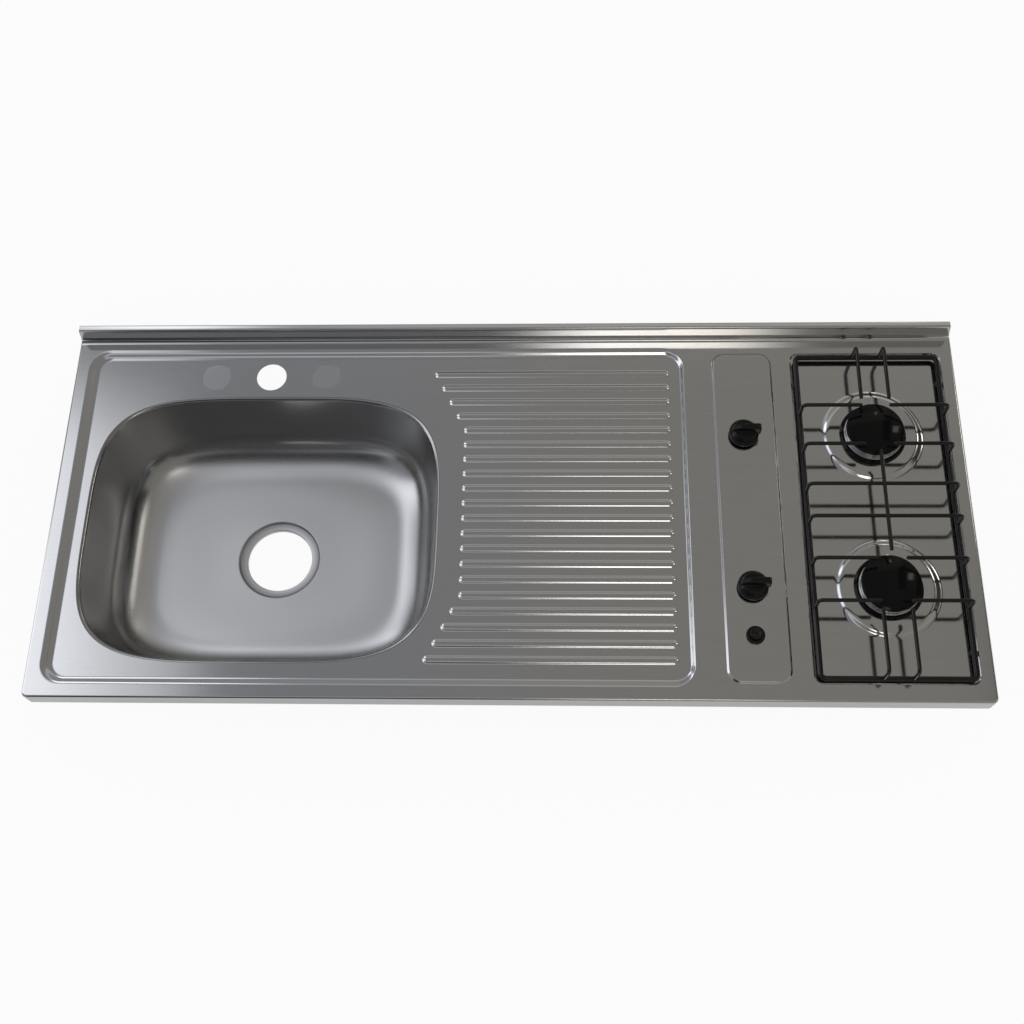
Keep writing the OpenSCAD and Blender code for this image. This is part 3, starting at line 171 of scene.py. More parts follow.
class BowlSizes(bpy.types.PropertyGroup):
    """The drawn bowl, its drain, and the tap hole behind it"""
    centre_x: length("Centre x", "Bowl centre from the left edge", 0.2775)
    centre_y: length("Centre y", "Bowl centre from the front edge", 0.2355)
    span: length("Length", "Bowl length inside the rolled lip", 0.458)
    width: length("Width", "Bowl width inside the rolled lip", 0.368)
    depth: length("Depth", "Depth of the bowl below the pan", 0.125)
    squareness: bpy.props.FloatProperty(name="Squareness", description="2 is an ellipse, more is squarer",
                                        default=4, min=2, max=8)
    polish: share("Side roughness", "Roughness of the drawn sides", 0.17)
    # painted shade: the drawn sides of the bowl are darkened to this share of the sheet's colour
    shade: share("Side shade", "How bright the drawn sides are, as a share of the sheet", 0.6)
    lip: length("Lip radius", "Radius of the rolled lip", 0.005)
    draft: length("Draft", "How far each side leans in", 0.012)
    fillet: length("Fillet", "Radius between the sides and the floor", 0.052)
    fall: length("Fall", "Fall of the floor to the drain", 0.002)
    drain: length("Drain radius", "Radius of the bore for the strainer", 0.045)
    seat: length("Seat radius", "Radius of the recess that the strainer lies in", 0.057)
    seat_drop: length("Seat depth", "Depth of that recess", 0.0025)
    collar: length("Collar", "Length of the turned-down collar", 0.004)
    tap_hole: length("Tap hole radius", "Radius of the tap hole and of the closed discs", 0.0205)
    tap_x: length("Tap hole x", "Tap hole centre from the left edge", 0.273)
    tap_y: length("Tap hole y", "Tap hole centre from the front edge", 0.455)
    disc_pitch: length("Disc spacing", "From the tap hole to the closed discs", 0.076)
    score: length("Scored line", "Width of the line round a closed disc", 0.0008)
    score_depth: length("Score depth", "Depth of that line", 0.0004)


class HobSizes(bpy.types.PropertyGroup):
    """The control panel, the hob's recess and the burners"""
    panel_left: length("Panel left", "Left edge of the control panel", 0.8747)
    panel_right: length("Panel right", "Right edge of the control panel", 0.9553)
    panel_height: length("Panel height", "Height of the panel above the rim", 0.002)
    panel_slope: length("Panel slope", "Width of the panel's sloped border", 0.003)
    panel_radius: length("Panel radius", "Plan radius of the panel's corners", 0.018)
    control_x: length("Controls", "Knob and button centres from the left edge", 0.912)
    igniter_y: length("Igniter", "Button centre from the front edge", 0.084)
    left: length("Recess left", "Left edge of the hob recess", 0.98)
    right: length("Recess right", "Right edge of the hob recess", 1.183)
    front: length("Recess front", "Front edge of the recess and of the panel", 0.0225)
    rear: length("Recess rear", "Rear edge of the recess and of the panel", 0.4865)
    drop: length("Recess depth", "Depth of the hob recess", 0.003)
    slope: length("Recess slope", "Width of the recess's sloped border", 0.0025)
    radius: length("Recess radius", "Plan radius of the recess's corners", 0.012)
    pitch: length("Burner spacing", "Distance between the burner centres", 0.214)
    disc: length("Disc radius", "Radius of the pressed disc under a burner", 0.068)
    disc_top: length("Disc top radius", "Radius of the flat top of that disc", 0.056)
    disc_height: length("Disc height", "Height of that disc above the recess", 0.0035)
    base: length("Base ring radius", "Outer radius of the black base ring", 0.0435)
    base_height: length("Base ring height", "Height of the base ring", 0.004)
    flange: length("Head flange radius", "Radius of the burner head below the ports", 0.0382)
    head: length("Head radius", "Radius of the ported ring", 0.0345)
    head_height: length("Head height", "Height of the burner head", 0.012)
    ports: number("Flame ports", "Number of flame ports", 28)
    port_width: length("Port width", "Width of a flame port", 0.002)
    cap: length("Cap radius", "Radius of the burner cap", 0.0375)
    cap_height: length("Cap height", "Height of the burner cap", 0.0095)
    cap_edge: length("Cap edge", "Height of the cap's upright edge", 0.0016)
    cup: length("Cup radius", "Radius of the cup that stands in the worktop", 0.0295)
    spark: length("Electrode", "Distance of the electrode from the burner centre", 0.0386)
    spark_hole: length("Electrode hole", "Radius of the hole for the electrode", 0.0029)
    screw_circle: length("Screw circle", "Distance of a burner's screws from its centre", 0.0365)
    screw_hole: length("Screw hole", "Radius of the hole for a burner's screw", 0.0022)
    stem_hole: length("Stem hole", "Radius of the hole for a tap's stem", 0.006)
    igniter_hole: length("Igniter hole", "Radius of the hole for the igniter", 0.0092)


class SupportSizes(bpy.types.PropertyGroup):
    """The pan support of bent wire"""
    rod: length("Rod radius", "Radius of the frame rod", 0.0035)
    wire: length("Wire radius", "Radius of the finger wire", 0.0025)
    side: length("Side gap", "From the recess edge to the frame at the sides", 0.0038)
    front: length("Front gap", "From the recess edge to the frame at the front", 0.0025)
    rear: length("Rear gap", "From the recess edge to the frame at the rear", 0.0065)
    corner: length("Corner radius", "Plan radius of the frame's outer corners", 0.01)
    frame_z: length("Frame height", "Height of the frame rod's centre", 0.005)
    finger_z: length("Finger height", "Height of the finger wires' centre", 0.033)
    bend: length("Finger bend", "Bend radius of a finger", 0.006)
    side_offset: length("Side fingers", "Their distance before and behind a burner centre", 0.028)
    side_tip: length("Side tips", "Clear radius left at a side finger's tip", 0.0195)
    end_offset: length("End fingers", "Their distance to each side of a burner centre", 0.018)
    end_tip: length("End tips", "Clear radius left at an end finger's tip", 0.0395)
    middle: length("Middle wires", "Their distance from the hob's centre", 0.0223)


class ControlSizes(bpy.types.PropertyGroup):
    """The knobs and the igniter"""
    skirt: length("Skirt radius", "Radius of the knob's skirt", 0.0195)
    height: length("Knob height", "Height of the knob", 0.024)
    skirt_height: length("Skirt height", "Height of the skirt", 0.006)
    wing: length("Wing width", "Width of the wing grip", 0.009)
    reach: length("Wing reach", "How far the wing reaches past the centre", 0.0209)
    gap: length("Gap", "Gap under the knob", 0.003)
    voxel: length("Knob detail", "Size of the steps in which the knob is fused", 0.00045)
    bezel: length("Bezel radius", "Radius of the igniter's bezel", 0.0118)
    bezel_height: length("Bezel height", "Height of the bezel", 0.003)
    button: length("Button radius", "Radius of the igniter button", 0.0074)
    button_height: length("Button height", "How far the button stands out", 0.0045)


class ScrewSizes(bpy.types.PropertyGroup):
    """The screws of the burner box's floor"""
    radius: length("Head radius", "Radius of a floor screw's head", 0.004)
    head: length("Head height", "Height of the head", 0.002)
    shank: length("Shank radius", "Radius of the shank", 0.002)
    slot: length("Recess width", "Width of each slot of the cross recess", 0.0011)
    rows: number("Rows", "Screws along each side of the floor", 3)


class FinishColours(bpy.types.PropertyGroup):
    """Colours of the finishes and of the surroundings"""
    steel: colour("Steel", "Brushed stainless sheet", (0.60, 0.60, 0.60))
    satin: colour("Satin steel", "Floor of the bowl", (0.70, 0.70, 0.71))
    zinc: colour("Zinc", "Galvanised sheet", (0.52, 0.54, 0.56))
    brass: colour("Brass", "Gas fittings", (0.66, 0.48, 0.22))
    aluminium: colour("Aluminium", "Castings and pipes", (0.62, 0.62, 0.61))
    enamel: colour("Enamel", "Black enamel", (0.003, 0.003, 0.003))
    plastic: colour("Plastic", "Knobs and igniter", (0.003, 0.003, 0.003))
    rubber: colour("Rubber", "Feet and grommets", (0.03, 0.03, 0.03))
    ceramic: colour("Ceramic", "Spark electrodes", (0.82, 0.81, 0.77))
    silicone: colour("Silicone", "Ignition leads", (0.62, 0.12, 0.06))
    background: colour("Background", "Floor and surroundings", (1.0, 1.0, 1.0))


class StudioLight(bpy.types.PropertyGroup):
    """The tent, the floor and the lamp"""
    zenith: share("Zenith", "Brightness of the grey tent above", 0.275)
    horizon: share("Horizon", "Brightness of the tent near the horizon", 0.34)
    card: share("Cards", "How much the dark cards take away", 0.85)
    window: bpy.props.FloatProperty(name="Window", description="Brightness of the window at the left",
                                    default=1.0, min=0, max=4)
    matt: share("Matt light", "Brightness of the tent for matt surfaces", 0.85)
    left_tint: colour("Left tint", "Tint of the tent at the left", (0.93, 0.95, 1.0))
    right_tint: colour("Right tint", "Tint of the tent at the right", (1.0, 0.955, 0.88))
    floor: share("Floor tone", "Tone of the floor under the lamps", 0.6)
    white: share("White floor", "How much of the floor shows as plain white", 0.93)
    mirrored: share("Mirrored floor", "Brightness of the floor in the steel", 0.2)
    sky: share("Surroundings", "Brightness of the surroundings in the picture", 0.965)
    sky_light: share("Sky light", "Brightness of the surroundings as light", 0.6)
    key: bpy.props.FloatProperty(name="Key lamp", description="Power of the soft lamp", default=14, min=0,
                                 max=200, unit="POWER")


GROUPS = {"sheet": SheetSizes, "bowl": BowlSizes, "hob": HobSizes, "support": SupportSizes,
          "control": ControlSizes, "screw": ScrewSizes, "finish": FinishColours, "studio": StudioLight}


def sizes(scene, name):
    """The values of a property group, without single-precision noise"""
    group = getattr(scene, "kitchenette_" + name)
    tidy = {}
    for key in GROUPS[name].__annotations__:
        value = getattr(group, key)
        if isinstance(value, float):
            value = round(value, 6)
        elif not isinstance(value, int):
            value = tuple(round(v, 6) for v in value)
        tidy[key] = value
    return SimpleNamespace(**tidy)


# ---------- outlines, all counter-clockwise ----------

def arc(x, y, radius, start, end, steps):
    """Points along part of a circle; angles are in degrees"""
    a = np.radians(np.linspace(start, end, steps + 1))
    return np.c_[x + radius * np.cos(a), y + radius * np.sin(a)]


def circle(x, y, radius, steps=72):
    return arc(x, y, radius, 0, 360, steps)[:-1]


def rounded_box(x0, y0, x1, y1, r, steps=14, parts=12):
    """A box with rounded corners; its sides are in short parts, because long thin faces shade badly"""
    corners = ((x1 - r, y1 - r, 0), (x0 + r, y1 - r, 90), (x0 + r, y0 + r, 180), (x1 - r, y0 + r, 270))
    return in_parts([arc(x, y, r, a, a + 90, steps) for x, y, a in corners], parts)


def inset_box(x0, y0, x1, y1, r, inset):
    """That box with its sides and corners set in"""
    return rounded_box(x0 + inset, y0 + inset, x1 - inset, y1 - inset, r - inset)


def pill(x0, x1, y, radius, steps=12, parts=8):
    """Two half circles joined by straight sides"""
    return in_parts([arc(x1, y, radius, -90, 90, steps), arc(x0, y, radius, 90, 270, steps)], parts)


def in_parts(arcs, parts):
    """Joins arcs by straight lines of so many parts"""
    t = np.linspace(0, 1, parts + 1)[1:-1, None]
    out = []
    for k, this in enumerate(arcs):
        start, end = this[-1], arcs[(k + 1) % len(arcs)][0]
        out += [this, start * (1 - t) + end * t]
    return np.concatenate(out)


def ramp(t, ease):
    """A rise from 0 to 1 whose two ends are eased"""
    s = 1 / (1 - ease)
    return np.where(t < ease, s * t * t / (2 * ease),
                    np.where(t > 1 - ease, 1 - s * (1 - t) ** 2 / (2 * ease), s * (t - ease / 2)))


def eased_steps(ease, steps=5):
    """Places along a ramp, close together where it bends"""
    return np.unique(np.round(np.r_[np.linspace(0, ease, steps), np.linspace(1 - ease, 1, steps)], 6))


def rounded(points, radii, steps=6):
    """A line with its corners rounded: its points, and the unit normals to the left of travel"""
    points = np.array(points, float)
    out, normals = [], []

    def unit(v):
        return v / np.linalg.norm(v)

    def add(p, direction):
        out.append(p)
        normals.append((-direction[1], direction[0]))

    add(points[0], unit(points[1] - points[0]))
    for i, radius in enumerate(radii, start=1):
        before, after = unit(points[i] - points[i - 1]), unit(points[i + 1] - points[i])
        turn = math.atan2(before[0] * after[1] - before[1] * after[0], before @ after)
        if radius <= 0 or abs(turn) < 1e-4:
            add(points[i], before)
            add(points[i], after)
            continue
        inset = radius * math.tan(abs(turn) / 2)
        start = points[i] - before * inset
        side = math.copysign(1, turn)
        centre = start + side * radius * np.array([-before[1], before[0]])
        for k in range(steps + 1):
            a = turn * k / steps
            spin = np.array([[math.cos(a), -math.sin(a)], [math.sin(a), math.cos(a)]])
            add(centre + spin @ (start - centre), spin @ before)
    add(points[-1], unit(points[-1] - points[-2]))
    return np.array(out), np.array(normals)


# ---------- surfaces ----------

def grid_normals(points, wrap):
    """Normals of a grid of points whose rows run outwards and columns counter-clockwise"""
    across = np.gradient(points, axis=0)
    across[1:-1] = points[2:] - points[:-2]
    if wrap:
        along = np.roll(points, -1, axis=1) - np.roll(points, 1, axis=1)
    else:
        along = np.gradient(points, axis=1)
    n = np.cross(across, along)
    return n / np.maximum(np.linalg.norm(n, axis=2, keepdims=True), SMALL)


class Skin:
    """Patches of surface that are welded into one mesh"""

    def __init__(self):
        self.points, self.normals, self.faces, self.total = [], [], [], 0

    def add(self, points, normals):
        self.points.append(np.asarray(points, float).reshape(-1, 3))
        self.normals.append(np.asarray(normals, float).reshape(-1, 3))
        start = self.total
        self.total += len(self.points[-1])
        return start

    def grid(self, points, normals=None, wrap=True, slot=0):
        rows, columns = points.shape[:2]
        if normals is None:
            normals = grid_normals(points, wrap)
        start = self.add(points, normals)
        i, j = np.meshgrid(np.arange(rows - 1), np.arange(columns if wrap else columns - 1), indexing="ij")
        k = (j + 1) % columns
        quads = np.stack([i * columns + j, (i + 1) * columns + j, (i + 1) * columns + k, i * columns + k], -1)
        self.faces += [(q, slot) for q in (quads.reshape(-1, 4) + start).tolist()]

    def plate(self, ring, look, flip=False):
        """One flat face over a ring of points"""
        start = self.add(ring, np.tile(look, (len(ring), 1)))
        ids = list(range(start, start + len(ring)))
        self.faces.append((ids[::-1] if flip else ids, 0))

    def flat(self, z, outline, holes=(), slot=0):
        """Fills a flat outline, leaving its holes open"""
        loops = [np.asarray(outline)] + [np.asarray(h) for h in holes]
        corners = np.concatenate(loops)
        edges, ends, start = [], [], 0
        for loop in loops:
            n = len(loop)
            edges += [(start + i, start + (i + 1) % n) for i in range(n)]
            ends.append(np.roll(loop, -1, axis=0))
            start += n
        found = delaunay_2d_cdt([Vector(c) for c in corners], edges, [], 0, 1e-7)
        flat = np.array([v[:] for v in found[0]])
        faces = np.array([f if len(f) == 3 else f[:3] for f in found[2]])
        middle = flat[faces].mean(axis=1)
        a, b = corners, np.concatenate(ends)
        crosses = (a[:, 1] > middle[:, None, 1]) != (b[:, 1] > middle[:, None, 1])
        rise = np.where(b[:, 1] == a[:, 1], 1, b[:, 1] - a[:, 1])
        reach = a[:, 0] + (middle[:, None, 1] - a[:, 1]) * (b[:, 0] - a[:, 0]) / rise
        inside = (crosses & (middle[:, None, 0] < reach)).sum(axis=1) % 2 == 1
        corners3 = np.c_[flat, np.full(len(flat), z)]
        start = self.add(corners3, np.tile((0, 0, 1), (len(flat), 1)))
        self.faces += [(f, slot) for f in (faces[inside] + start).tolist()]

    def band(self, inner, outer, z_in, z_out, ease=0.4, steps=5, slot=0):
        """A slope between two outlines of as many points, level at both ends"""
        t = eased_steps(ease, steps)[:, None, None]
        flat = inner[None] * (1 - t) + outer[None] * t
        z = z_in + (z_out - z_in) * ramp(t, ease) * np.ones(flat.shape[:2] + (1,))
        slope = np.concatenate([flat, z], axis=2)
        normals = grid_normals(slope, True)
        normals[[0, -1]] = (0, 0, 1)
        self.grid(slope, normals, slot=slot)

    def lathe(self, profile, x=0.0, y=0.0, steps=72, slot=0):
        """Turns a profile of radius and height; it runs from the top centre outwards and down"""
        line, across = profile
        a = np.linspace(0, 2 * math.pi, steps, endpoint=False)
        c, s = np.cos(a)[None, :, None], np.sin(a)[None, :, None]
        r, z = line[:, 0][:, None, None], line[:, 1][:, None, None]
        nr, nz = across[:, 0][:, None, None], across[:, 1][:, None, None]
        ones = np.ones_like(c)
        self.grid(np.concatenate([x + r * c, y + r * s, z * ones], axis=2),
                  np.concatenate([nr * c, nr * s, nz * ones], axis=2), slot=slot)

    def mesh(self, name, gauge=0.0):
        """Welds the patches; with a gauge, the surface becomes a sheet of that thickness"""
        points, normals = np.concatenate(self.points), np.concatenate(self.normals)
        _, first, index = np.unique(np.round(points / WELD + 0.137).astype(np.int64), axis=0,
                                    return_index=True, return_inverse=True)
        index = index.ravel()
        vertices = points[first]
        faces, corner_normals, slots = [], [], []
        for face, slot in self.faces:
            ids = index[face]
            keep = [k for k in range(len(ids)) if ids[k] != ids[k - 1]]
            if len({int(ids[k]) for k in keep}) < 3:
                continue
            faces.append([int(ids[k]) for k in keep])
            corner_normals += [normals[face[k]] for k in keep]
            slots.append(slot)
        if gauge:
            mean = np.zeros_like(vertices)
            np.add.at(mean, index, normals)
            mean /= np.maximum(np.linalg.norm(mean, axis=1, keepdims=True), SMALL)
            n, at, top = len(vertices), 0, list(zip(faces, slots))
            vertices = np.concatenate([vertices, vertices - gauge * mean])
            edges = {(f[k - 1], f[k]): s for f, s in top for k in range(len(f))}
            for face, slot in top:
                faces.append([v + n for v in reversed(face)])
                corner_normals += [-c for c in reversed(corner_normals[at:at + len(face)])]
                slots.append(slot)
                at += len(face)
            for (a, b), slot in edges.items():
                if (b, a) not in edges:
                    rim = [b, a, a + n, b + n]
                    flat = np.cross(vertices[a] - vertices[b], vertices[a + n] - vertices[b])
                    faces.append(rim)
                    corner_normals += [flat / max(np.linalg.norm(flat), SMALL)] * 4
                    slots.append(slot)
        # a point on a hard edge becomes one point for each way that the surface looks there
        ids, look = np.concatenate(faces), np.round(np.array(corner_normals) * 25).astype(int)
        _, first, index = np.unique(np.c_[ids, look], axis=0, return_index=True, return_inverse=True)
        vertices, index, at = vertices[ids[first]], index.ravel().tolist(), 0
        for k, face in enumerate(faces):
            faces[k] = index[at:at + len(face)]
            at += len(face)
        mesh = bpy.data.meshes.new(name)
        mesh.from_pydata((vertices + CORNER).tolist(), [], faces)
        mesh.polygons.foreach_set("material_index", slots)
        mesh.polygons.foreach_set("use_smooth", [True] * len(faces))
        mesh.normals_split_custom_set(corner_normals)
        return mesh


def place(mesh, *finishes):
    """Puts a mesh in the scene with its finishes"""
    piece = bpy.data.objects.new(mesh.name, mesh)
    bpy.context.scene.collection.objects.link(piece)
    for name in finishes:
        mesh.materials.append(finish(name))
    return piece


def turned(name, made_of, x, y, *sections, around=96):
    """A piece that is turned from its sections round an upright axis"""
    skin = Skin()
    for section in sections:
        skin.lathe(section, x, y, around)
    return place(skin.mesh(name), made_of)


def hand_over(piece, body, slot, *nodes):
    """The piece rides on its body and stands for its nodes"""
    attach(piece, body)
    if nodes:
        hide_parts(*nodes)


def baked(piece):
    """The piece with its modifiers worked out"""
    graph = bpy.context.evaluated_depsgraph_get()
    mesh = bpy.data.meshes.new_from_object(piece.evaluated_get(graph), depsgraph=graph)
    mesh.name = piece.name
    piece.modifiers.clear()
    old, piece.data = piece.data, mesh
    bpy.data.meshes.remove(old)
    return piece


# ---------- node trees ----------

class Tree:
    """Adds nodes to a tree and links them"""

    def __init__(self, tree):
        self.tree = tree

    def add(self, kind, inputs=None, **settings):
        node = self.tree.nodes.new(kind)
        for key, value in settings.items():
            setattr(node, key, value)
        for key, value in (inputs or {}).items():
            if isinstance(value, bpy.types.NodeSocket):
                self.tree.links.new(value, node.inputs[key])
            else:
                node.inputs[key].default_value = value
        return node

    def math(self, operation, a, b=0.5):
        return self.add("ShaderNodeMath", {0: a, 1: b}, operation=operation).outputs[0]


def new_tree(name, kind, inputs, outputs):
    """A node group with its sockets: name, kind of socket and default"""
    tree = bpy.data.node_groups.new(name, kind)
    for label, socket, default in inputs:
        made = tree.interface.new_socket(label, in_out="INPUT", socket_type=socket)
        if default is not None:
            made.default_value = default
    for label, socket in outputs:
        tree.interface.new_socket(label, in_out="OUTPUT", socket_type=socket)
    build = Tree(tree)
    return build, build.add("NodeGroupInput"), build.add("NodeGroupOutput")


def built_once(name):
    """Marks a function that builds the node group of that name, which is then kept"""
    def mark(build):
        return lambda: bpy.data.node_groups.get(name) or build(name)
    return mark


def end_geometry(build, start, end, geometry):
    """Every geometry tree ends in Realize Instances and Set Material"""
    solid = build.add("GeometryNodeRealizeInstances", {"Geometry": geometry})
    painted = build.add("GeometryNodeSetMaterial", {"Geometry": solid.outputs[0], "Material": start.outputs["Finish"]})
    build.tree.links.new(painted.outputs[0], end.inputs[0])
    return build.tree


def grow(piece, tree, **values):
    """Runs a geometry node tree over a piece and keeps the result"""
    modifier = piece.modifiers.new(tree.name, "NODES")
    modifier.node_group = tree
    for item in tree.interface.items_tree:
        if item.item_type == "SOCKET" and item.in_out == "INPUT":
            key = item.name.lower().replace(" ", "_")
            if key in values:
                modifier[item.identifier] = values[key]
    return baked(piece)


@built_once("Bent wire")
def wire_tree(name):
    """Wire along the edges of a mesh, bent at its corners, with round ends"""
    b, start, end = new_tree(name, "GeometryNodeTree", (
        ("Path", "NodeSocketGeometry", None), ("Radius", "NodeSocketFloat", 0.0025),
        ("Bend", "NodeSocketFloat", 0.006), ("Bend steps", "NodeSocketInt", 8),
        ("Sides", "NodeSocketInt", 16), ("Finish", "NodeSocketMaterial", None)),
        (("Wire", "NodeSocketGeometry"),))
    curve = b.add("GeometryNodeMeshToCurve", {"Mesh": start.outputs["Path"]})
    bent = b.add("GeometryNodeFilletCurve", {"Curve": curve.outputs[0], "Count": start.outputs["Bend steps"],
                                             "Radius": start.outputs["Bend"]}, mode="POLY")
    section = b.add("GeometryNodeCurvePrimitiveCircle", {"Resolution": start.outputs["Sides"],
                                                         "Radius": start.outputs["Radius"]})
    tube = b.add("GeometryNodeCurveToMesh", {"Curve": bent.outputs[0], "Profile Curve": section.outputs[0],
                                             "Fill Caps": True})
    smooth = b.add("GeometryNodeSetShadeSmooth", {"Geometry": tube.outputs[0]})
    ball = b.add("GeometryNodeMeshUVSphere", {"Segments": start.outputs["Sides"], "Rings": 8,
                                              "Radius": start.outputs["Radius"]})
    round_ball = b.add("GeometryNodeSetShadeSmooth", {"Geometry": ball.outputs[0]})
    tips = b.add("GeometryNodeCurveEndpointSelection")
    balls = b.add("GeometryNodeInstanceOnPoints", {"Points": bent.outputs[0], "Selection": tips.outputs[0],
                                                   "Instance": round_ball.outputs[0]})
    both = b.add("GeometryNodeJoinGeometry")
    b.tree.links.new(smooth.outputs[0], both.inputs[0])
    b.tree.links.new(balls.outputs[0], both.inputs[0])
    return end_geometry(b, start, end, both.outputs[0])


@built_once("Round pattern")
def round_tree(name):
    """Copies of a shape, turned about an upright axis"""
    b, start, end = new_tree(name, "GeometryNodeTree", (
        ("Shape", "NodeSocketGeometry", None), ("Count", "NodeSocketInt", 28),
        ("Step", "NodeSocketFloat", 0.2), ("First", "NodeSocketFloat", 0.0),
        ("Centre", "NodeSocketVector", (0, 0, 0)), ("Finish", "NodeSocketMaterial", None)),
        (("Pattern", "NodeSocketGeometry"),))
    spots = b.add("GeometryNodeMeshLine", {"Count": start.outputs["Count"], "Offset": (0, 0, 0)})
    index = b.add("GeometryNodeInputIndex")
    angle = b.math("ADD", b.math("MULTIPLY", index.outputs[0], start.outputs["Step"]), start.outputs["First"])
    turn = b.add("ShaderNodeCombineXYZ", {"Z": angle})
    copies = b.add("GeometryNodeInstanceOnPoints", {"Points": spots.outputs[0],
                                                    "Instance": start.outputs["Shape"],
                                                    "Rotation": turn.outputs[0]})
    moved = b.add("GeometryNodeTransform", {"Geometry": copies.outputs[0],
                                            "Translation": start.outputs["Centre"]})
    return end_geometry(b, start, end, moved.outputs[0])


@built_once("Rows")
def rows_tree(name):
    """Copies of a shape in rows and columns round a centre"""
    b, start, end = new_tree(name, "GeometryNodeTree", (
        ("Shape", "NodeSocketGeometry", None), ("Columns", "NodeSocketInt", 2), ("Rows", "NodeSocketInt", 3),
        ("Width", "NodeSocketFloat", 0.3), ("Depth", "NodeSocketFloat", 0.3),
        ("Centre", "NodeSocketVector", (0, 0, 0)), ("Finish", "NodeSocketMaterial", None)),
        (("Pattern", "NodeSocketGeometry"),))
    spots = b.add("GeometryNodeMeshGrid", {"Size X": start.outputs["Width"], "Size Y": start.outputs["Depth"],
                                           "Vertices X": start.outputs["Columns"],
                                           "Vertices Y": start.outputs["Rows"]})
    copies = b.add("GeometryNodeInstanceOnPoints", {"Points": spots.outputs[0],
                                                    "Instance": start.outputs["Shape"]})
    moved = b.add("GeometryNodeTransform", {"Geometry": copies.outputs[0],
                                            "Translation": start.outputs["Centre"]})
    return end_geometry(b, start, end, moved.outputs[0])


# ---------- finishes ----------

@built_once("Surface grain")
def grain_group(name):
    """Fine marks in the surface, longer one way than the other, and broader handling marks"""
    b, start, end = new_tree(name, "ShaderNodeTree", (
        ("Marks", "NodeSocketVector", (300, 300, 300)), ("Detail", "NodeSocketFloat", 4.0),
        ("Smudges", "NodeSocketFloat", 6.0)),
        (("Grain", "NodeSocketFloat"), ("Smudge", "NodeSocketFloat")))
    place_at = b.add("ShaderNodeTexCoord").outputs["Object"]
    stretched = b.add("ShaderNodeVectorMath", {0: place_at, 1: start.outputs["Marks"]}, operation="MULTIPLY")
    marks = b.add("ShaderNodeTexNoise", {"Vector": stretched.outputs[0], "Scale": 1.0,
                                         "Detail": start.outputs["Detail"], "Roughness": 0.6})
    broad = b.add("ShaderNodeTexNoise", {"Vector": place_at, "Scale": start.outputs["Smudges"], "Detail": 3.0,
                                         "Roughness": 0.55})
    b.tree.links.new(marks.outputs["Fac"], end.inputs["Grain"])
    b.tree.links.new(broad.outputs["Fac"], end.inputs["Smudge"])
    return b.tree


@built_once("Zinc spangle")
def spangle_group(name):
    """The crystals of hot-dip zinc: each has a tone of its own"""
    b, start, end = new_tree(name, "ShaderNodeTree", (("Size", "NodeSocketFloat", 120.0),),
                             (("Tone", "NodeSocketFloat"),))
    place_at = b.add("ShaderNodeTexCoord").outputs["Object"]
    cells = b.add("ShaderNodeTexVoronoi", {"Vector": place_at, "Scale": start.outputs["Size"]})
    tone = b.add("ShaderNodeSeparateColor", {"Color": cells.outputs["Color"]})
    b.tree.links.new(tone.outputs[0], end.inputs["Tone"])
    return b.tree


# colour is a name in FinishColours, marks are grain marks for each metre, grain and smudge are the shares of the
# grain and of the handling marks in the roughness, tint is the share of the grain in the colour, bump is in metres
Finish = namedtuple("Finish", "colour metallic roughness marks tint grain smudge bump coat specular")
FINISHES = {
    "pressed_steel": Finish("steel", 1.0, 0.12, (14, 900, 900), 0.06, 0.03, 0.03, 3e-7, 0.0, 0.5),
    "satin_bowl": Finish("steel", 1.0, 0.38, (500, 500, 500), 0.02, 0.03, 0.03, 1e-6, 0.0, 0.5),
    "closed_disc": Finish("steel", 1.0, 0.18, (14, 900, 900), 0.04, 0.02, 0.03, 2e-7, 0.0, 0.5),
    "galvanised_steel": Finish("zinc", 1.0, 0.42, (60, 60, 60), 0.22, 0.12, 0.05, 1e-5, 0.0, 0.5),
    "brass": Finish("brass", 1.0, 0.3, (900, 900, 60), 0.12, 0.08, 0.05, 8e-6, 0.0, 0.5),
    "aluminium_tube": Finish("aluminium", 1.0, 0.34, (30, 900, 900), 0.1, 0.08, 0.05, 5e-6, 0.0, 0.5),
    "cast_aluminium": Finish("aluminium", 1.0, 0.52, (900, 900, 900), 0.16, 0.1, 0.06, 6e-5, 0.0, 0.5),
    "bright_aluminium": Finish("aluminium", 1.0, 0.24, (300, 300, 1500), 0.08, 0.06, 0.05, 2e-6, 0.0, 0.5),
    "black_enamel": Finish("enamel", 0.0, 0.06, (260, 260, 260), 0.3, 0.02, 0.03, 2e-6, 0.0, 0.13),
    "wire_enamel": Finish("enamel", 0.0, 0.2, (420, 420, 420), 0.3, 0.06, 0.06, 1e-5, 0.0, 0.4),
    "knob_plastic": Finish("plastic", 0.0, 0.32, (1400, 1400, 1400), 0.3, 0.08, 0.08, 8e-6, 0.0, 0.22),
    "igniter_plastic": Finish("plastic", 0.0, 0.34, (1400, 1400, 1400), 0.3, 0.08, 0.05, 8e-6, 0.0, 0.3),
    "button_plastic": Finish("plastic", 0.0, 0.3, (1400, 1400, 1400), 0.3, 0.08, 0.05, 8e-6, 0.0, 0.3),
    "black_rubber": Finish("rubber", 0.0, 0.75, (1100, 1100, 1100), 0.3, 0.08, 0.05, 3e-5, 0.0, 0.4),
    "white_ceramic": Finish("ceramic", 0.0, 0.2, (500, 500, 500), 0.05, 0.05, 0.1, 1e-5, 0.3, 0.5),
    "lead_silicone": Finish("silicone", 0.0, 0.45, (800, 800, 800), 0.15, 0.08, 0.05, 1e-5, 0.0, 0.5),
    "bright_steel": Finish("steel", 1.0, 0.22, (900, 900, 30), 0.1, 0.06, 0.05, 6e-6, 0.0, 0.5),
}


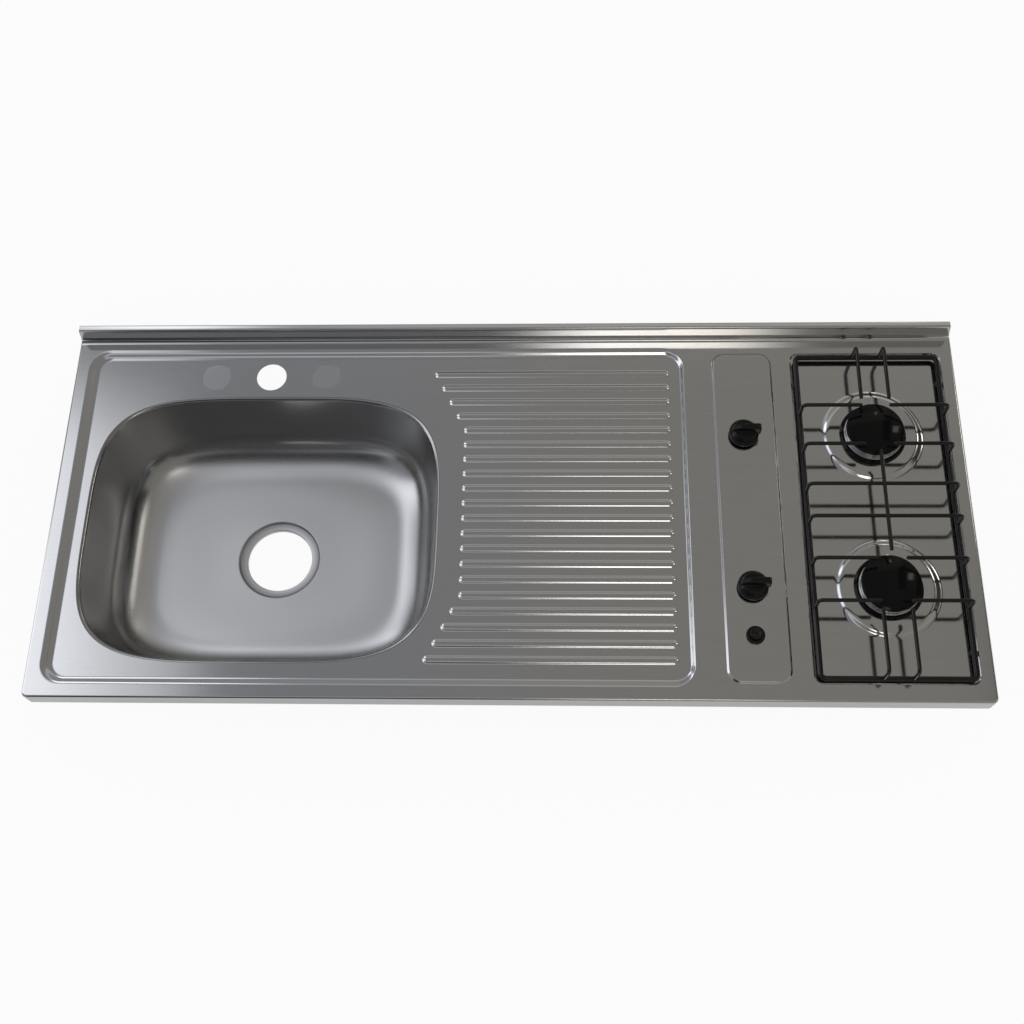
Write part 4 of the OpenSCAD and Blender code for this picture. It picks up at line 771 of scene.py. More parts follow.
def bowl_height(b):
    """0 on the satin floor of the bowl, 1 on its polished sides; it sets their roughness and where their painted shade
    falls
    """
    bowl = sizes(bpy.context.scene, "bowl")
    under = 0.005                   # the floor's fall and the pan's depth, about
    height = b.add("ShaderNodeSeparateXYZ", {0: b.add("ShaderNodeTexCoord").outputs["Object"]}).outputs["Z"]
    bottom = float(CORNER[2]) - bowl.depth - under
    return b.add("ShaderNodeMapRange", {"Value": height, "From Min": bottom, "From Max": bottom + bowl.fillet / 2},
                 interpolation_type="SMOOTHSTEP").outputs[0]


def painted_seat_shade(b, bowl):
    """Painted shade: the strainer's seat, a recess, is darkened towards its outer edge"""
    centre, darkest = CORNER + (bowl.centre_x, bowl.centre_y, 0), 0.5
    flat = b.add("ShaderNodeVectorMath", {0: b.add("ShaderNodeTexCoord").outputs["Object"], 1: (1, 1, 0)},
                 operation="MULTIPLY")
    away = b.add("ShaderNodeVectorMath", {0: flat.outputs[0], 1: (centre[0], centre[1], 0)},
                 operation="DISTANCE").outputs["Value"]
    # painted shade, deepest at the outer edge of the seat's recess
    recess_shade = b.add("ShaderNodeMapRange", {"Value": away, "From Min": bowl.drain, "From Max": bowl.seat - 0.001,
                                         "To Max": darkest}, interpolation_type="SMOOTHSTEP").outputs[0]
    edge = b.add("ShaderNodeMapRange", {"Value": away, "From Min": bowl.seat - 0.001, "From Max": bowl.seat + 0.0015,
                                        "To Min": 1.0, "To Max": 0.0}).outputs[0]
    return b.math("SUBTRACT", 1.0, b.math("MULTIPLY", recess_shade, edge))


def finish(name):
    """The material of that finish, made the first time it is asked for"""
    label = f"{name}_finish"
    if label in bpy.data.materials:
        return bpy.data.materials[label]
    made_of = FINISHES[name]
    tone, tint, rough = getattr(sizes(bpy.context.scene, "finish"), made_of.colour), made_of.tint, made_of.roughness
    material = bpy.data.materials.new(label)
    material.use_nodes = True
    b = Tree(material.node_tree)
    shader = b.tree.nodes["Principled BSDF"]
    grain = b.add("ShaderNodeGroup", node_tree=grain_group())
    grain.inputs["Marks"].default_value = made_of.marks
    value = grain.outputs["Grain"]
    if name == "galvanised_steel":
        spangle = b.add("ShaderNodeGroup", node_tree=spangle_group())
        value = b.math("ADD", b.math("MULTIPLY", spangle.outputs["Tone"], 0.6), b.math("MULTIPLY", value, 0.4))
    mixed = b.add("ShaderNodeMix", {"Factor": value, 6: (*[c * (1 - tint) for c in tone], 1),
                                    7: (*[min(c * (1 + tint), 1) for c in tone], 1)}, data_type="RGBA")
    colour_out = mixed.outputs[2]
    if name == "satin_bowl":
        sides, bowl = bowl_height(b), sizes(bpy.context.scene, "bowl")
        rough = b.math("ADD", rough, b.math("MULTIPLY", sides, bowl.polish - rough))
        satin = sizes(bpy.context.scene, "finish").satin
        # painted shade: the sides take the sheet's colour darkened by the side shade, the floor keeps the satin colour
        drawn = b.add("ShaderNodeVectorMath", {0: colour_out, 1: (bowl.shade,) * 3}, operation="MULTIPLY")
        # the satin floor takes the painted shade of the strainer's seat
        satin = b.add("ShaderNodeVectorMath", {0: satin, "Scale": painted_seat_shade(b, bowl)}, operation="SCALE")
        colour_out = b.add("ShaderNodeMix", {0: sides, 6: satin.outputs[0], 7: drawn.outputs[0]},
                           data_type="RGBA").outputs[2]
    b.tree.links.new(colour_out, shader.inputs["Base Color"])
    fine = b.math("MULTIPLY", b.math("SUBTRACT", value, 0.5), 2 * made_of.grain)
    broad = b.math("MULTIPLY", b.math("SUBTRACT", grain.outputs["Smudge"], 0.5), 2 * made_of.smudge)
    b.tree.links.new(b.math("ADD", b.math("ADD", fine, broad), rough), shader.inputs["Roughness"])
    bump = b.add("ShaderNodeBump", {"Strength": 1.0, "Distance": made_of.bump, "Height": value})
    b.tree.links.new(bump.outputs[0], shader.inputs["Normal"])
    shader.inputs["Metallic"].default_value = made_of.metallic
    shader.inputs["Coat Weight"].default_value = made_of.coat
    shader.inputs["Coat Roughness"].default_value = 0.08
    shader.inputs["Specular IOR Level"].default_value = made_of.specular
    return material


# ---------- the pressed worktop ----------

def bowl_outline(bowl, inset, steps=160):
    """The bowl's bowed outline, set in by a distance; its points are evenly spaced where the lip is"""
    a = np.linspace(0, 2 * math.pi, 4001)
    power = 2 / bowl.squareness

    def at(angle, d):
        c, s = np.cos(angle), np.sin(angle)
        return np.c_[(bowl.span / 2 - d) * np.sign(c) * np.abs(c) ** power,
                     (bowl.width / 2 - d) * np.sign(s) * np.abs(s) ** power]

    line = at(a, -bowl.lip)
    run = np.r_[0, np.cumsum(np.linalg.norm(np.diff(line, axis=0), axis=1))]
    spots = np.interp(np.linspace(0, run[-1], steps, endpoint=False), run, a)
    return at(spots, inset) + (bowl.centre_x, bowl.centre_y)


def edge_stations(s):
    """Places along the folded edge: left side, front corners, right side. Each is a point, the direction
    that looks out and whether it is on a corner"""
    rear, turn, pan = s.depth + s.gauge, s.depth - s.bend, s.depth - s.pan_rear
    side = [rear, turn, *np.linspace(pan, s.corner, 11)]
    left = [(0, y, 180.0, False) for y in side]
    left += [(0, 0, a, True) for a in np.linspace(180, 270, 13)[1:]]
    front = [(x, 0, 270.0, False) for x in np.linspace(s.corner, s.span - s.corner, 25)[1:-1]]
    right = [(s.span, 0, a, True) for a in np.linspace(270, 360, 13)[:-1]]
    right += [(s.span, y, 0.0, False) for y in reversed(side)]
    return left + front + right


def edge_grid(s, line, across, stations):
    """Sweeps a section of inset and height along the folded edge"""
    points, normals = [], []
    for (inset, z), (out, up) in zip(line, across):
        row, row_normals = [], []
        mid, radius = max(s.corner, inset), max(s.corner - inset, 0)
        for x, y, angle, corner in stations:
            c, sn = math.cos(math.radians(angle)), math.sin(math.radians(angle))
            if corner:
                centre = mid if x < s.span / 2 else s.span - mid
                row.append((centre + radius * c, mid + radius * sn, z))
            elif angle == 270:
                row.append((min(max(x, mid), s.span - mid), inset, z))
            else:
                row.append((x - inset * c, max(y, mid), z))
            row_normals.append((out * c, out * sn, up))
        points.append(row)
        normals.append(row_normals)
    return np.array(points), np.array(normals)


def fold_sheet(skin, s):
    """The rounded fold, the skirt and the return under it"""
    stations, low = edge_stations(s), s.hem_fold - s.skirt

    def sweep(section, radius, steps, along):
        """Sweeps a section that is drawn inwards to the left; its first point belongs to its neighbour"""
        line, across = rounded(section, [radius], steps)
        points, normals = edge_grid(s, np.c_[-line[1:, 0], line[1:, 1]], across[1:], along)
        skin.grid(points, normals, wrap=False)
        return points

    top = sweep([(-s.fold, 0), (0, 0), (0, low)], s.fold, 8, stations)
    sweep([(0, low), (0, -s.skirt), (-s.hem, -s.skirt)], s.hem_fold, 5, stations[2:-2])
    return top[0][1:-1, :2]


@built_once("Drainer ribs")
def rib_tree(name):
    """Copies of a rib side by side; towards the first and the last one they start further left"""
    b, start, end = new_tree(name, "GeometryNodeTree", (
        ("Rib", "NodeSocketGeometry", None), ("Count", "NodeSocketInt", 20), ("Pitch", "NodeSocketFloat", 0.02),
        ("First", "NodeSocketFloat", 0.05), ("Stepped", "NodeSocketInt", 4), ("Step", "NodeSocketFloat", 0.01),
        ("Left of", "NodeSocketFloat", 0.6), ("Finish", "NodeSocketMaterial", None)),
        (("Ribs", "NodeSocketGeometry"),))
    line = b.add("GeometryNodeMeshLine", {
        "Count": start.outputs["Count"],
        "Start Location": b.add("ShaderNodeCombineXYZ", {"Y": start.outputs["First"]}).outputs[0],
        "Offset": b.add("ShaderNodeCombineXYZ", {"Y": start.outputs["Pitch"]}).outputs[0]})
    copies = b.add("GeometryNodeInstanceOnPoints", {"Points": line.outputs[0], "Instance": start.outputs["Rib"]})
    solid = b.add("GeometryNodeRealizeInstances", {"Geometry": copies.outputs[0]})
    x, y, _ = b.add("ShaderNodeSeparateXYZ", {0: b.add("GeometryNodeInputPosition").outputs[0]}).outputs
    index = b.math("ROUND", b.math("DIVIDE", b.math("SUBTRACT", y, start.outputs["First"]),
                                   start.outputs["Pitch"]))
    last = b.math("SUBTRACT", b.math("SUBTRACT", start.outputs["Count"], 1.0), index)
    steps = b.math("MAXIMUM", b.math("SUBTRACT", start.outputs["Stepped"], b.math("MINIMUM", index, last)), 0.0)
    shift = b.math("MULTIPLY", b.math("MULTIPLY", steps, start.outputs["Step"]), -1.0)
    moved = b.add("GeometryNodeSetPosition", {
        "Geometry": solid.outputs[0], "Selection": b.math("LESS_THAN", x, start.outputs["Left of"]),
        "Offset": b.add("ShaderNodeCombineXYZ", {"X": shift}).outputs[0]})
    return end_geometry(b, start, end, moved.outputs[0])


def drainer_ribs(skin, s):
    """Presses the ribs into the deck; returns the outlines that they leave in it"""
    half, z = s.rib_width / 2, -s.pan_drop
    left, right = s.rib_left + half, s.rib_right - half
    outline, top = pill(left, right, 0, half), pill(left, right, 0, s.rib_crest / 2)
    rib = Skin()
    rib.band(top, outline, z + s.rib_height, z, ease=0.49, steps=7)
    rim = rib.total - len(outline)
    rib.plate(np.c_[top, np.full(len(top), z + s.rib_height)], (0, 0, 1))
    points, normals = np.concatenate(rib.points), np.concatenate(rib.normals)
    mesh = bpy.data.meshes.new("rib")
    mesh.from_pydata(points.tolist(), [], [face for face, _ in rib.faces])
    piece = place(mesh, "pressed_steel")
    grow(piece, rib_tree(), count=s.rib_count, pitch=s.rib_pitch, first=s.rib_front, stepped=s.rib_stepped,
         step=s.rib_step, left_of=left + 0.001, finish=finish("pressed_steel"))
    ribs = np.empty(len(piece.data.vertices) * 3, np.float32)
    piece.data.vertices.foreach_get("co", ribs)
    ribs = np.round(ribs.reshape(s.rib_count, -1, 3).astype(float), 7)
    bpy.data.objects.remove(piece)
    for one in ribs:
        start = skin.add(one, normals)
        skin.faces += [([start + i for i in face], slot) for face, slot in rib.faces]
    return [one[rim:rim + len(outline), :2] for one in ribs]


def closed_disc(skin, bowl, x, deck_z):
    """A knock-out for a second tap: a scored line round a disc; returns the outline that it leaves"""
    rings = [circle(x, bowl.tap_y, bowl.tap_hole - d * bowl.score) for d in (0, 0.25, 0.75, 1)]
    low = deck_z - bowl.score_depth
    skin.band(rings[1], rings[0], low, deck_z, steps=3)
    skin.flat(low, rings[1], [rings[2]])
    skin.band(rings[3], rings[2], deck_z, low, steps=3)
    skin.flat(deck_z, rings[3], slot=1)
    return rings[0]


def worktop_skin(s, bowl, hob):
    """The whole sheet but the upstand: rim, pan with its ribs, control panel and hob"""
    skin = Skin()
    rim = fold_sheet(skin, s)
    deck_z = -s.pan_drop
    pan_rear = s.depth - s.pan_rear
    pan = rounded_box(s.pan_left, s.pan_front, s.pan_right, pan_rear, s.pan_outer)
    deck = rounded_box(s.pan_left + s.slope_left, s.pan_front + s.slope_front, s.pan_right - s.slope_right,
                       pan_rear - s.slope_rear, s.pan_inner)
    skin.band(deck, pan, deck_z, 0, ease=0.49, steps=9)
    panel, panel_top = (inset_box(hob.panel_left, hob.front, hob.panel_right, hob.rear, hob.panel_radius, inset)
                        for inset in (0, hob.panel_slope))
    skin.band(panel_top, panel, hob.panel_height, 0, ease=0.22)
    recess, recess_floor = (inset_box(hob.left, hob.front, hob.right, hob.rear, hob.radius, inset)
                            for inset in (0, hob.slope))
    skin.band(recess_floor, recess, -hob.drop, 0, ease=0.35)
    skin.flat(0, rim, [pan, panel, recess])

    # deck with the bowl's opening, the tap hole, two closed discs and the ribs
    holes = [bowl_outline(bowl, -bowl.lip), circle(bowl.tap_x, bowl.tap_y, bowl.tap_hole)]
    holes += [closed_disc(skin, bowl, bowl.tap_x + side * bowl.disc_pitch, deck_z) for side in (-1, 1)]
    skin.flat(deck_z, deck, holes + drainer_ribs(skin, s))

    # control panel and hob
    burners = list(burner_places(hob).values())
    stems = [circle(hob.control_x, y, hob.stem_hole, 32) for _, y in burners]
    skin.flat(hob.panel_height, panel_top, stems + [circle(hob.control_x, hob.igniter_y, hob.igniter_hole, 36)])
    skin.flat(-hob.drop, recess_floor, [circle(x, y, hob.disc, 96) for x, y in burners])
    disc_z, cup_hole = hob.disc_height - hob.drop, hob.cup + 0.001
    for x, y in burners:
        top = circle(x, y, hob.disc_top, 96)
        skin.band(top, circle(x, y, hob.disc, 96), disc_z, -hob.drop, ease=0.49, steps=9)
        screws = [circle(x + hob.screw_circle * math.cos(a), y + hob.screw_circle * math.sin(a), hob.screw_hole, 16)
                  for a in np.radians((30, 150, 270))]
        skin.flat(disc_z, top, [circle(x, y, cup_hole, 72), circle(x, y + hob.spark, hob.spark_hole, 20)] + screws)
    return skin


def upstand_skin(s):
    """The upstand as a closed strip with leaning ends, and the small plates that close the bend"""
    skin = Skin()
    turn, back, high, parts = s.depth - s.bend, s.depth + s.top, RIM_HEIGHT, 25
    line, across = rounded([(turn, 0), (s.depth, 0), (s.depth, high), (back, high - s.fall), (back, high - s.lip)],
                           [s.bend, s.nose, s.nose], 8)
    inner = line - s.gauge * across
    first = s.fold - s.gauge

    def rows(points, normals):
        """Each point of the section as a line from the left end to the right one"""
        lines = []
        for y, z in points:
            inset = first + s.lean * max(z, 0) / high
            lines.append([(x, y, z) for x in np.linspace(inset, s.span - inset, parts)])
        return np.array(lines), np.array([[(0, ny, nz)] * parts for ny, nz in normals])

    outer_rows, outer_normals = rows(line, across)
    inner_rows, inner_normals = rows(inner, -across)
    # rows run to the rear, so columns run from right to left
    skin.grid(outer_rows[:, ::-1], outer_normals[:, ::-1], wrap=False)
    skin.grid(inner_rows, inner_normals, wrap=False)
    for end in (0, -1):
        strip = np.stack([outer_rows[:, end], inner_rows[:, end]], axis=1)
        look = np.zeros_like(strip)
        look[..., 0] = -1 if end == 0 else 1
        skin.grid(strip if end else strip[:, ::-1], look, wrap=False)
    for edge, way in ((0, (0, -1, 0)), (-1, (0, 0, -1))):
        strip = np.stack([outer_rows[edge], inner_rows[edge]], axis=0)
        skin.grid(strip if edge == -1 else strip[::-1], np.tile(way, strip.shape[:2] + (1,)), wrap=False)
    radius = s.bend + 0.0005
    shape = [(turn + radius * math.cos(a), s.bend + radius * math.sin(a)) for a in np.radians(np.linspace(270, 360, 9))]
    shape += [(s.depth + s.gauge, s.bend), (s.depth + s.gauge, -s.gauge), (turn, -s.gauge)]
    for x in ((first, first + s.gauge), (s.span - first - s.gauge, s.span - first)):
        sides = [np.array([(v, y, z) for y, z in shape]) for v in x]
        for side, look in zip(sides, (-1, 1)):
            skin.plate(side, (look, 0, 0), flip=look > 0)
        wall = np.stack([sides[0], sides[1]], axis=0)
        along = np.roll(wall, -1, axis=1) - wall
        across3 = np.cross(wall[1] - wall[0], along[0])
        across3 /= np.maximum(np.linalg.norm(across3, axis=1, keepdims=True), SMALL)
        for k in range(len(shape)):
            after = (k + 1) % len(shape)
            skin.plate([sides[0][k], sides[1][k], sides[1][after], sides[0][after]], across3[k])
    return skin


def join(pieces, name):
    """Joins pieces into the first one"""
    with bpy.context.temp_override(active_object=pieces[0], selected_editable_objects=pieces,
                                   object=pieces[0], selected_objects=pieces):
        bpy.ops.object.join()
    pieces[0].name = name
    return pieces[0]


class KITCHENETTE_OT_worktop(bpy.types.Operator):
    """Press the worktop: folded edge, sunken pan, ribs, control panel, hob recess and upstand"""
    bl_idname = "kitchenette.worktop"
    bl_label = "Worktop"

    def execute(self, context):
        s, bowl, hob = (sizes(context.scene, n) for n in ("sheet", "bowl", "hob"))
        sheet = place(worktop_skin(s, bowl, hob).mesh("worktop_sheet", s.gauge), "pressed_steel", "closed_disc")
        upstand = place(upstand_skin(s).mesh("upstand"), "pressed_steel")
        hand_over(join([sheet, upstand], "worktop_sheet"), "worktop_unit", "pressed_steel", "worktop")
        return {"FINISHED"}


def bowl_rows(bowl):
    """Rings of the drawn bowl from the collar up to the rolled lip"""
    wall = math.atan(bowl.draft / (bowl.depth - bowl.lip - bowl.fillet))
    end = math.pi / 2 - wall
    lip_d, lip_z = bowl.lip * (math.sin(end) - 1), -bowl.lip * (1 - math.cos(end))
    fillet_z = -bowl.depth + bowl.fillet * (1 - math.sin(wall))
    fillet_d = lip_d + (lip_z - fillet_z) * math.tan(wall)
    centre = np.array([bowl.centre_x, bowl.centre_y])
    floor_d = fillet_d + bowl.fillet * math.cos(wall)
    floor_z = -bowl.depth - bowl.fall
    edge = bowl_outline(bowl, floor_d)
    rays = (edge - centre) / np.linalg.norm(edge - centre, axis=1, keepdims=True)
    rows = []

    def ring(flat, z):
        rows.append(np.c_[flat, np.full(len(flat), z)])

    slope = bowl.seat_drop
    seat, _ = rounded([(bowl.drain, -bowl.seat_drop - 0.002 - bowl.collar), (bowl.drain, -bowl.seat_drop - 0.0008),
                       (bowl.seat - slope, -bowl.seat_drop), (bowl.seat, 0), (bowl.seat + 0.012, 0)],
                      [0.002, 0.001, 0.0018], 6)
    for r, z in seat:
        ring(centre + rays * r, floor_z + z)
    last = centre + rays * seat[-1][0]
    for t in np.linspace(0, 1, 9)[1:-1]:
        ring(last * (1 - t) + edge * t, floor_z + bowl.fall * float(ramp(np.array(t), 0.4)))
    for a in np.linspace(math.pi / 2, wall, 16):
        d = fillet_d + bowl.fillet * (math.cos(wall) - math.cos(a))
        ring(bowl_outline(bowl, d), fillet_z - bowl.fillet * (math.sin(a) - math.sin(wall)))
    for a in np.linspace(end, 0, 9):
        ring(bowl_outline(bowl, bowl.lip * (math.sin(a) - 1)), -bowl.lip * (1 - math.cos(a)))
    return np.array(rows)


class KITCHENETTE_OT_bowl(bpy.types.Operator):
    """Draw the bowl with its rolled lip and the strainer's seat"""
    bl_idname = "kitchenette.bowl"
    bl_label = "Bowl"

    def execute(self, context):
        s, bowl = sizes(context.scene, "sheet"), sizes(context.scene, "bowl")
        rows = bowl_rows(bowl) - (0, 0, s.pan_drop)
        normals = grid_normals(rows, True)
        normals[-1] = (0, 0, 1)
        skin = Skin()
        skin.grid(rows, normals)
        piece = place(skin.mesh("drawn_bowl", s.gauge), "satin_bowl")
        hand_over(piece, "worktop_unit", "pressed_steel", "sink_bowl")
        return {"FINISHED"}


# ---------- burners ----------

def burner_places(hob):
    """Centre of the rear and of the front burner"""
    x, middle = (hob.left + hob.right) / 2, (hob.front + hob.rear) / 2
    return {"rear": (x, middle + hob.pitch / 2), "front": (x, middle - hob.pitch / 2)}


def closed(points, radii, steps=4):
    """A closed section: the first point is also the last"""
    return rounded(list(points) + [points[0]], list(radii), steps)


class KITCHENETTE_OT_burners(bpy.types.Operator):
    """Turn the burners: enamelled base ring, ported head and domed cap"""
    bl_idname = "kitchenette.burners"
    bl_label = "Burners"

    def execute(self, context):
        hob = sizes(context.scene, "hob")
        base_z = hob.disc_height - hob.drop
        head_z = base_z + hob.base_height
        cap_z = head_z + hob.head_height
        for name, (x, y) in burner_places(hob).items():
            self.base_ring(hob, name, x, y, base_z)
            self.head(hob, name, x, y, head_z)
            self.cap(hob, name, x, y, cap_z)
        return {"FINISHED"}

    def base_ring(self, hob, name, x, y, z):
        r0, r1, h = hob.cup + 0.0005, hob.base, hob.base_height
        section = closed([(r0, z), (r0, z + h), (r1 - 0.0032, z + h), (r1 - 0.0006, z + 0.0024), (r1, z)],
                         [0.0004, 0.0016, 0.0012, 0.0])
        piece = turned(f"base_ring_{name}_enamelled", "black_enamel", x, y, section)
        hand_over(piece, "worktop_unit", "black_enamel", f"base_ring_{name}")

    def head(self, hob, name, x, y, z):
        """The turned head in two closed rings, with the teeth between its flame ports between them"""
        bore, inner, port_z = hob.cup + 0.00005, hob.head - 0.007, hob.head_height - 0.006
        neck, step_r = hob.head + 0.0013, hob.flange - 0.0009
        lower = closed([(bore, z), (bore, z + 0.0015), (inner, z + 0.0015), (inner, z + port_z),
                        (hob.head, z + port_z), (hob.head, z + 0.0046), (neck, z + 0.0044), (neck, z + 0.0028),
                        (step_r, z + 0.0026), (step_r, z + 0.0012), (hob.flange, z + 0.001), (hob.flange, z)],
                       [0, 0.0003, 0, 0.0001, 0.0003, 0.0005, 0.0003, 0.0005, 0.0003, 0.0003, 0.0002])
        upper = closed([(inner, z + port_z + 0.004), (inner, z + hob.head_height),
                        (hob.head, z + hob.head_height), (hob.head, z + port_z + 0.004)],
                       [0.0003, 0.0003, 0.0001])
        body = turned(f"burner_head_{name}_turned", "bright_aluminium", x, y, lower, upper)
        step = 2 * math.pi / hob.ports
        teeth = grow(self.tooth(hob, name, step, inner, port_z), round_tree(), count=hob.ports, step=step, first=0.0,
                     centre=tuple(CORNER + (x, y, z)), finish=finish("bright_aluminium"))
        piece = join([body, teeth], f"burner_head_{name}_turned")
        hand_over(piece, "worktop_unit", "bright_aluminium", f"burner_head_{name}")

    def tooth(self, hob, name, step, inner, port_z):
        """One tooth between two flame ports, on the x axis; its ends reach a little into the rings"""
        skin, outline, across = Skin(), [], 5
        for r, way in ((inner, 1), (hob.head - 0.0002, -1)):
            half = step / 2 - hob.port_width / 2 / r
            outline += [(r * math.cos(a), r * math.sin(a)) for a in np.linspace(-half * way, half * way, across)]
        outline = np.array(outline[::-1])
        walls = [np.c_[outline, np.full(2 * across, v)] for v in (port_z + 0.0041, port_z - 0.0001)]
        side = np.roll(outline, -1, axis=0) - outline
        for k in range(2 * across):
            out = np.array([side[k][1], -side[k][0], 0]) / max(np.linalg.norm(side[k]), 1e-9)
            after = (k + 1) % (2 * across)
            skin.plate([walls[0][k], walls[1][k], walls[1][after], walls[0][after]], out)
        for level, look in zip(walls, (1, -1)):
            skin.plate(level, (0, 0, look), flip=look < 0)
        mesh = skin.mesh(f"port_teeth_{name}")
        mesh.transform(Matrix.Translation(Vector(-CORNER)))
        return place(mesh, "bright_aluminium")

    def cap(self, hob, name, x, y, z):
        """The domed cap, with the rim under it that keeps it in its head"""
        edge, ring = hob.cap_edge, hob.head - 0.0074
        dome = hob.cap_height - edge
        radius = (hob.cap ** 2 + dome ** 2) / (2 * dome)
        arc_end = math.asin((hob.cap - 0.0012) / radius)
        top = [(radius * math.sin(a), z + hob.cap_height - radius * (1 - math.cos(a)))
               for a in np.linspace(0, arc_end, 15)]
        line = top + [(hob.cap, z + edge - 0.0002), (hob.cap, z), (ring, z), (ring, z - 0.003),
                      (ring - 0.002, z - 0.003), (ring - 0.002, z + 0.0025), (0, z + 0.0025)]
        radii = [0.05] * 13 + [0.0012, 0.0012, 0.0006, 0.0, 0.0004, 0.0004, 0.0]
        piece = turned(f"burner_cap_{name}_enamelled", "black_enamel", x, y, rounded(line, radii, 3))
        hand_over(piece, f"{name}_burner_cap", "black_enamel", f"burner_cap_{name}")


# ---------- pan support ----------

def path_mesh(name, lines):
    """A mesh of edges along lines of points; a line whose last point is its first is a loop"""
    points, edges = [], []
    for line in lines:
        loop = np.allclose(line[0], line[-1])
        line = line[:-1] if loop else line
        start = len(points)
        points += [tuple(np.array(p) + CORNER) for p in line]
        edges += [(start + i, start + i + 1) for i in range(len(line) - 1)]
        if loop:
            edges.append((start + len(line) - 1, start))
    mesh = bpy.data.meshes.new(name)
    mesh.from_pydata(points, edges, [])
    return mesh


class KITCHENETTE_OT_pan_support(bpy.types.Operator):
    """Bend the pan support: frame of round rod, fingers and the two wires across"""
    bl_idname = "kitchenette.pan_support"
    bl_label = "Pan support"

    def execute(self, context):
        hob, g = sizes(context.scene, "hob"), sizes(context.scene, "support")
        x0, x1 = hob.left + g.side + g.rod, hob.right - g.side - g.rod
        y0, y1 = hob.front + g.front + g.rod, hob.rear - g.rear - g.rod
        x, middle = (hob.left + hob.right) / 2, (hob.front + hob.rear) / 2
        rear, front = middle + hob.pitch / 2 + g.end_tip, middle - hob.pitch / 2 - g.end_tip
        foot, high = g.frame_z + g.rod - 0.0012, g.finger_z
        loop = [(x0, y0, g.frame_z), (x1, y0, g.frame_z), (x1, y1, g.frame_z), (x0, y1, g.frame_z),
                (x0, y0, g.frame_z)]
        fingers = []
        for _, y in burner_places(hob).values():
            for s in (-1, 1):
                row = y + s * g.side_offset
                fingers.append([(x0, row, foot), (x0, row, high), (x - g.side_tip, row, high)])
                fingers.append([(x1, row, foot), (x1, row, high), (x + g.side_tip, row, high)])
        for s in (-1, 1):
            column = x + s * g.end_offset
            fingers.append([(column, y1, foot), (column, y1, high), (column, rear, high)])
            fingers.append([(column, y0, foot), (column, y0, high), (column, front, high)])
        across = [[(x0, middle + s * g.middle, foot), (x0, middle + s * g.middle, high),
                   (x1, middle + s * g.middle, high), (x1, middle + s * g.middle, foot)] for s in (-1, 1)]
        reach = hob.pitch / 2 - g.end_tip
        across.append([(x, middle - reach, high + 0.001), (x, middle + reach, high + 0.001)])
        for name, lines, radius, bend in (("frame", [loop], g.rod, g.corner - g.rod),
                                          ("fingers", fingers, g.wire, g.bend),
                                          ("bridge", across, g.wire, g.bend)):
            piece = place(path_mesh(f"support_{name}_wire", lines))
            grow(piece, wire_tree(), radius=radius, bend=bend, bend_steps=8, sides=18,
                 finish=finish("wire_enamel"))
            hand_over(piece, "pan_support", "wire_enamel", f"pan_support_{name}")
        return {"FINISHED"}


# ---------- knobs and igniter ----------

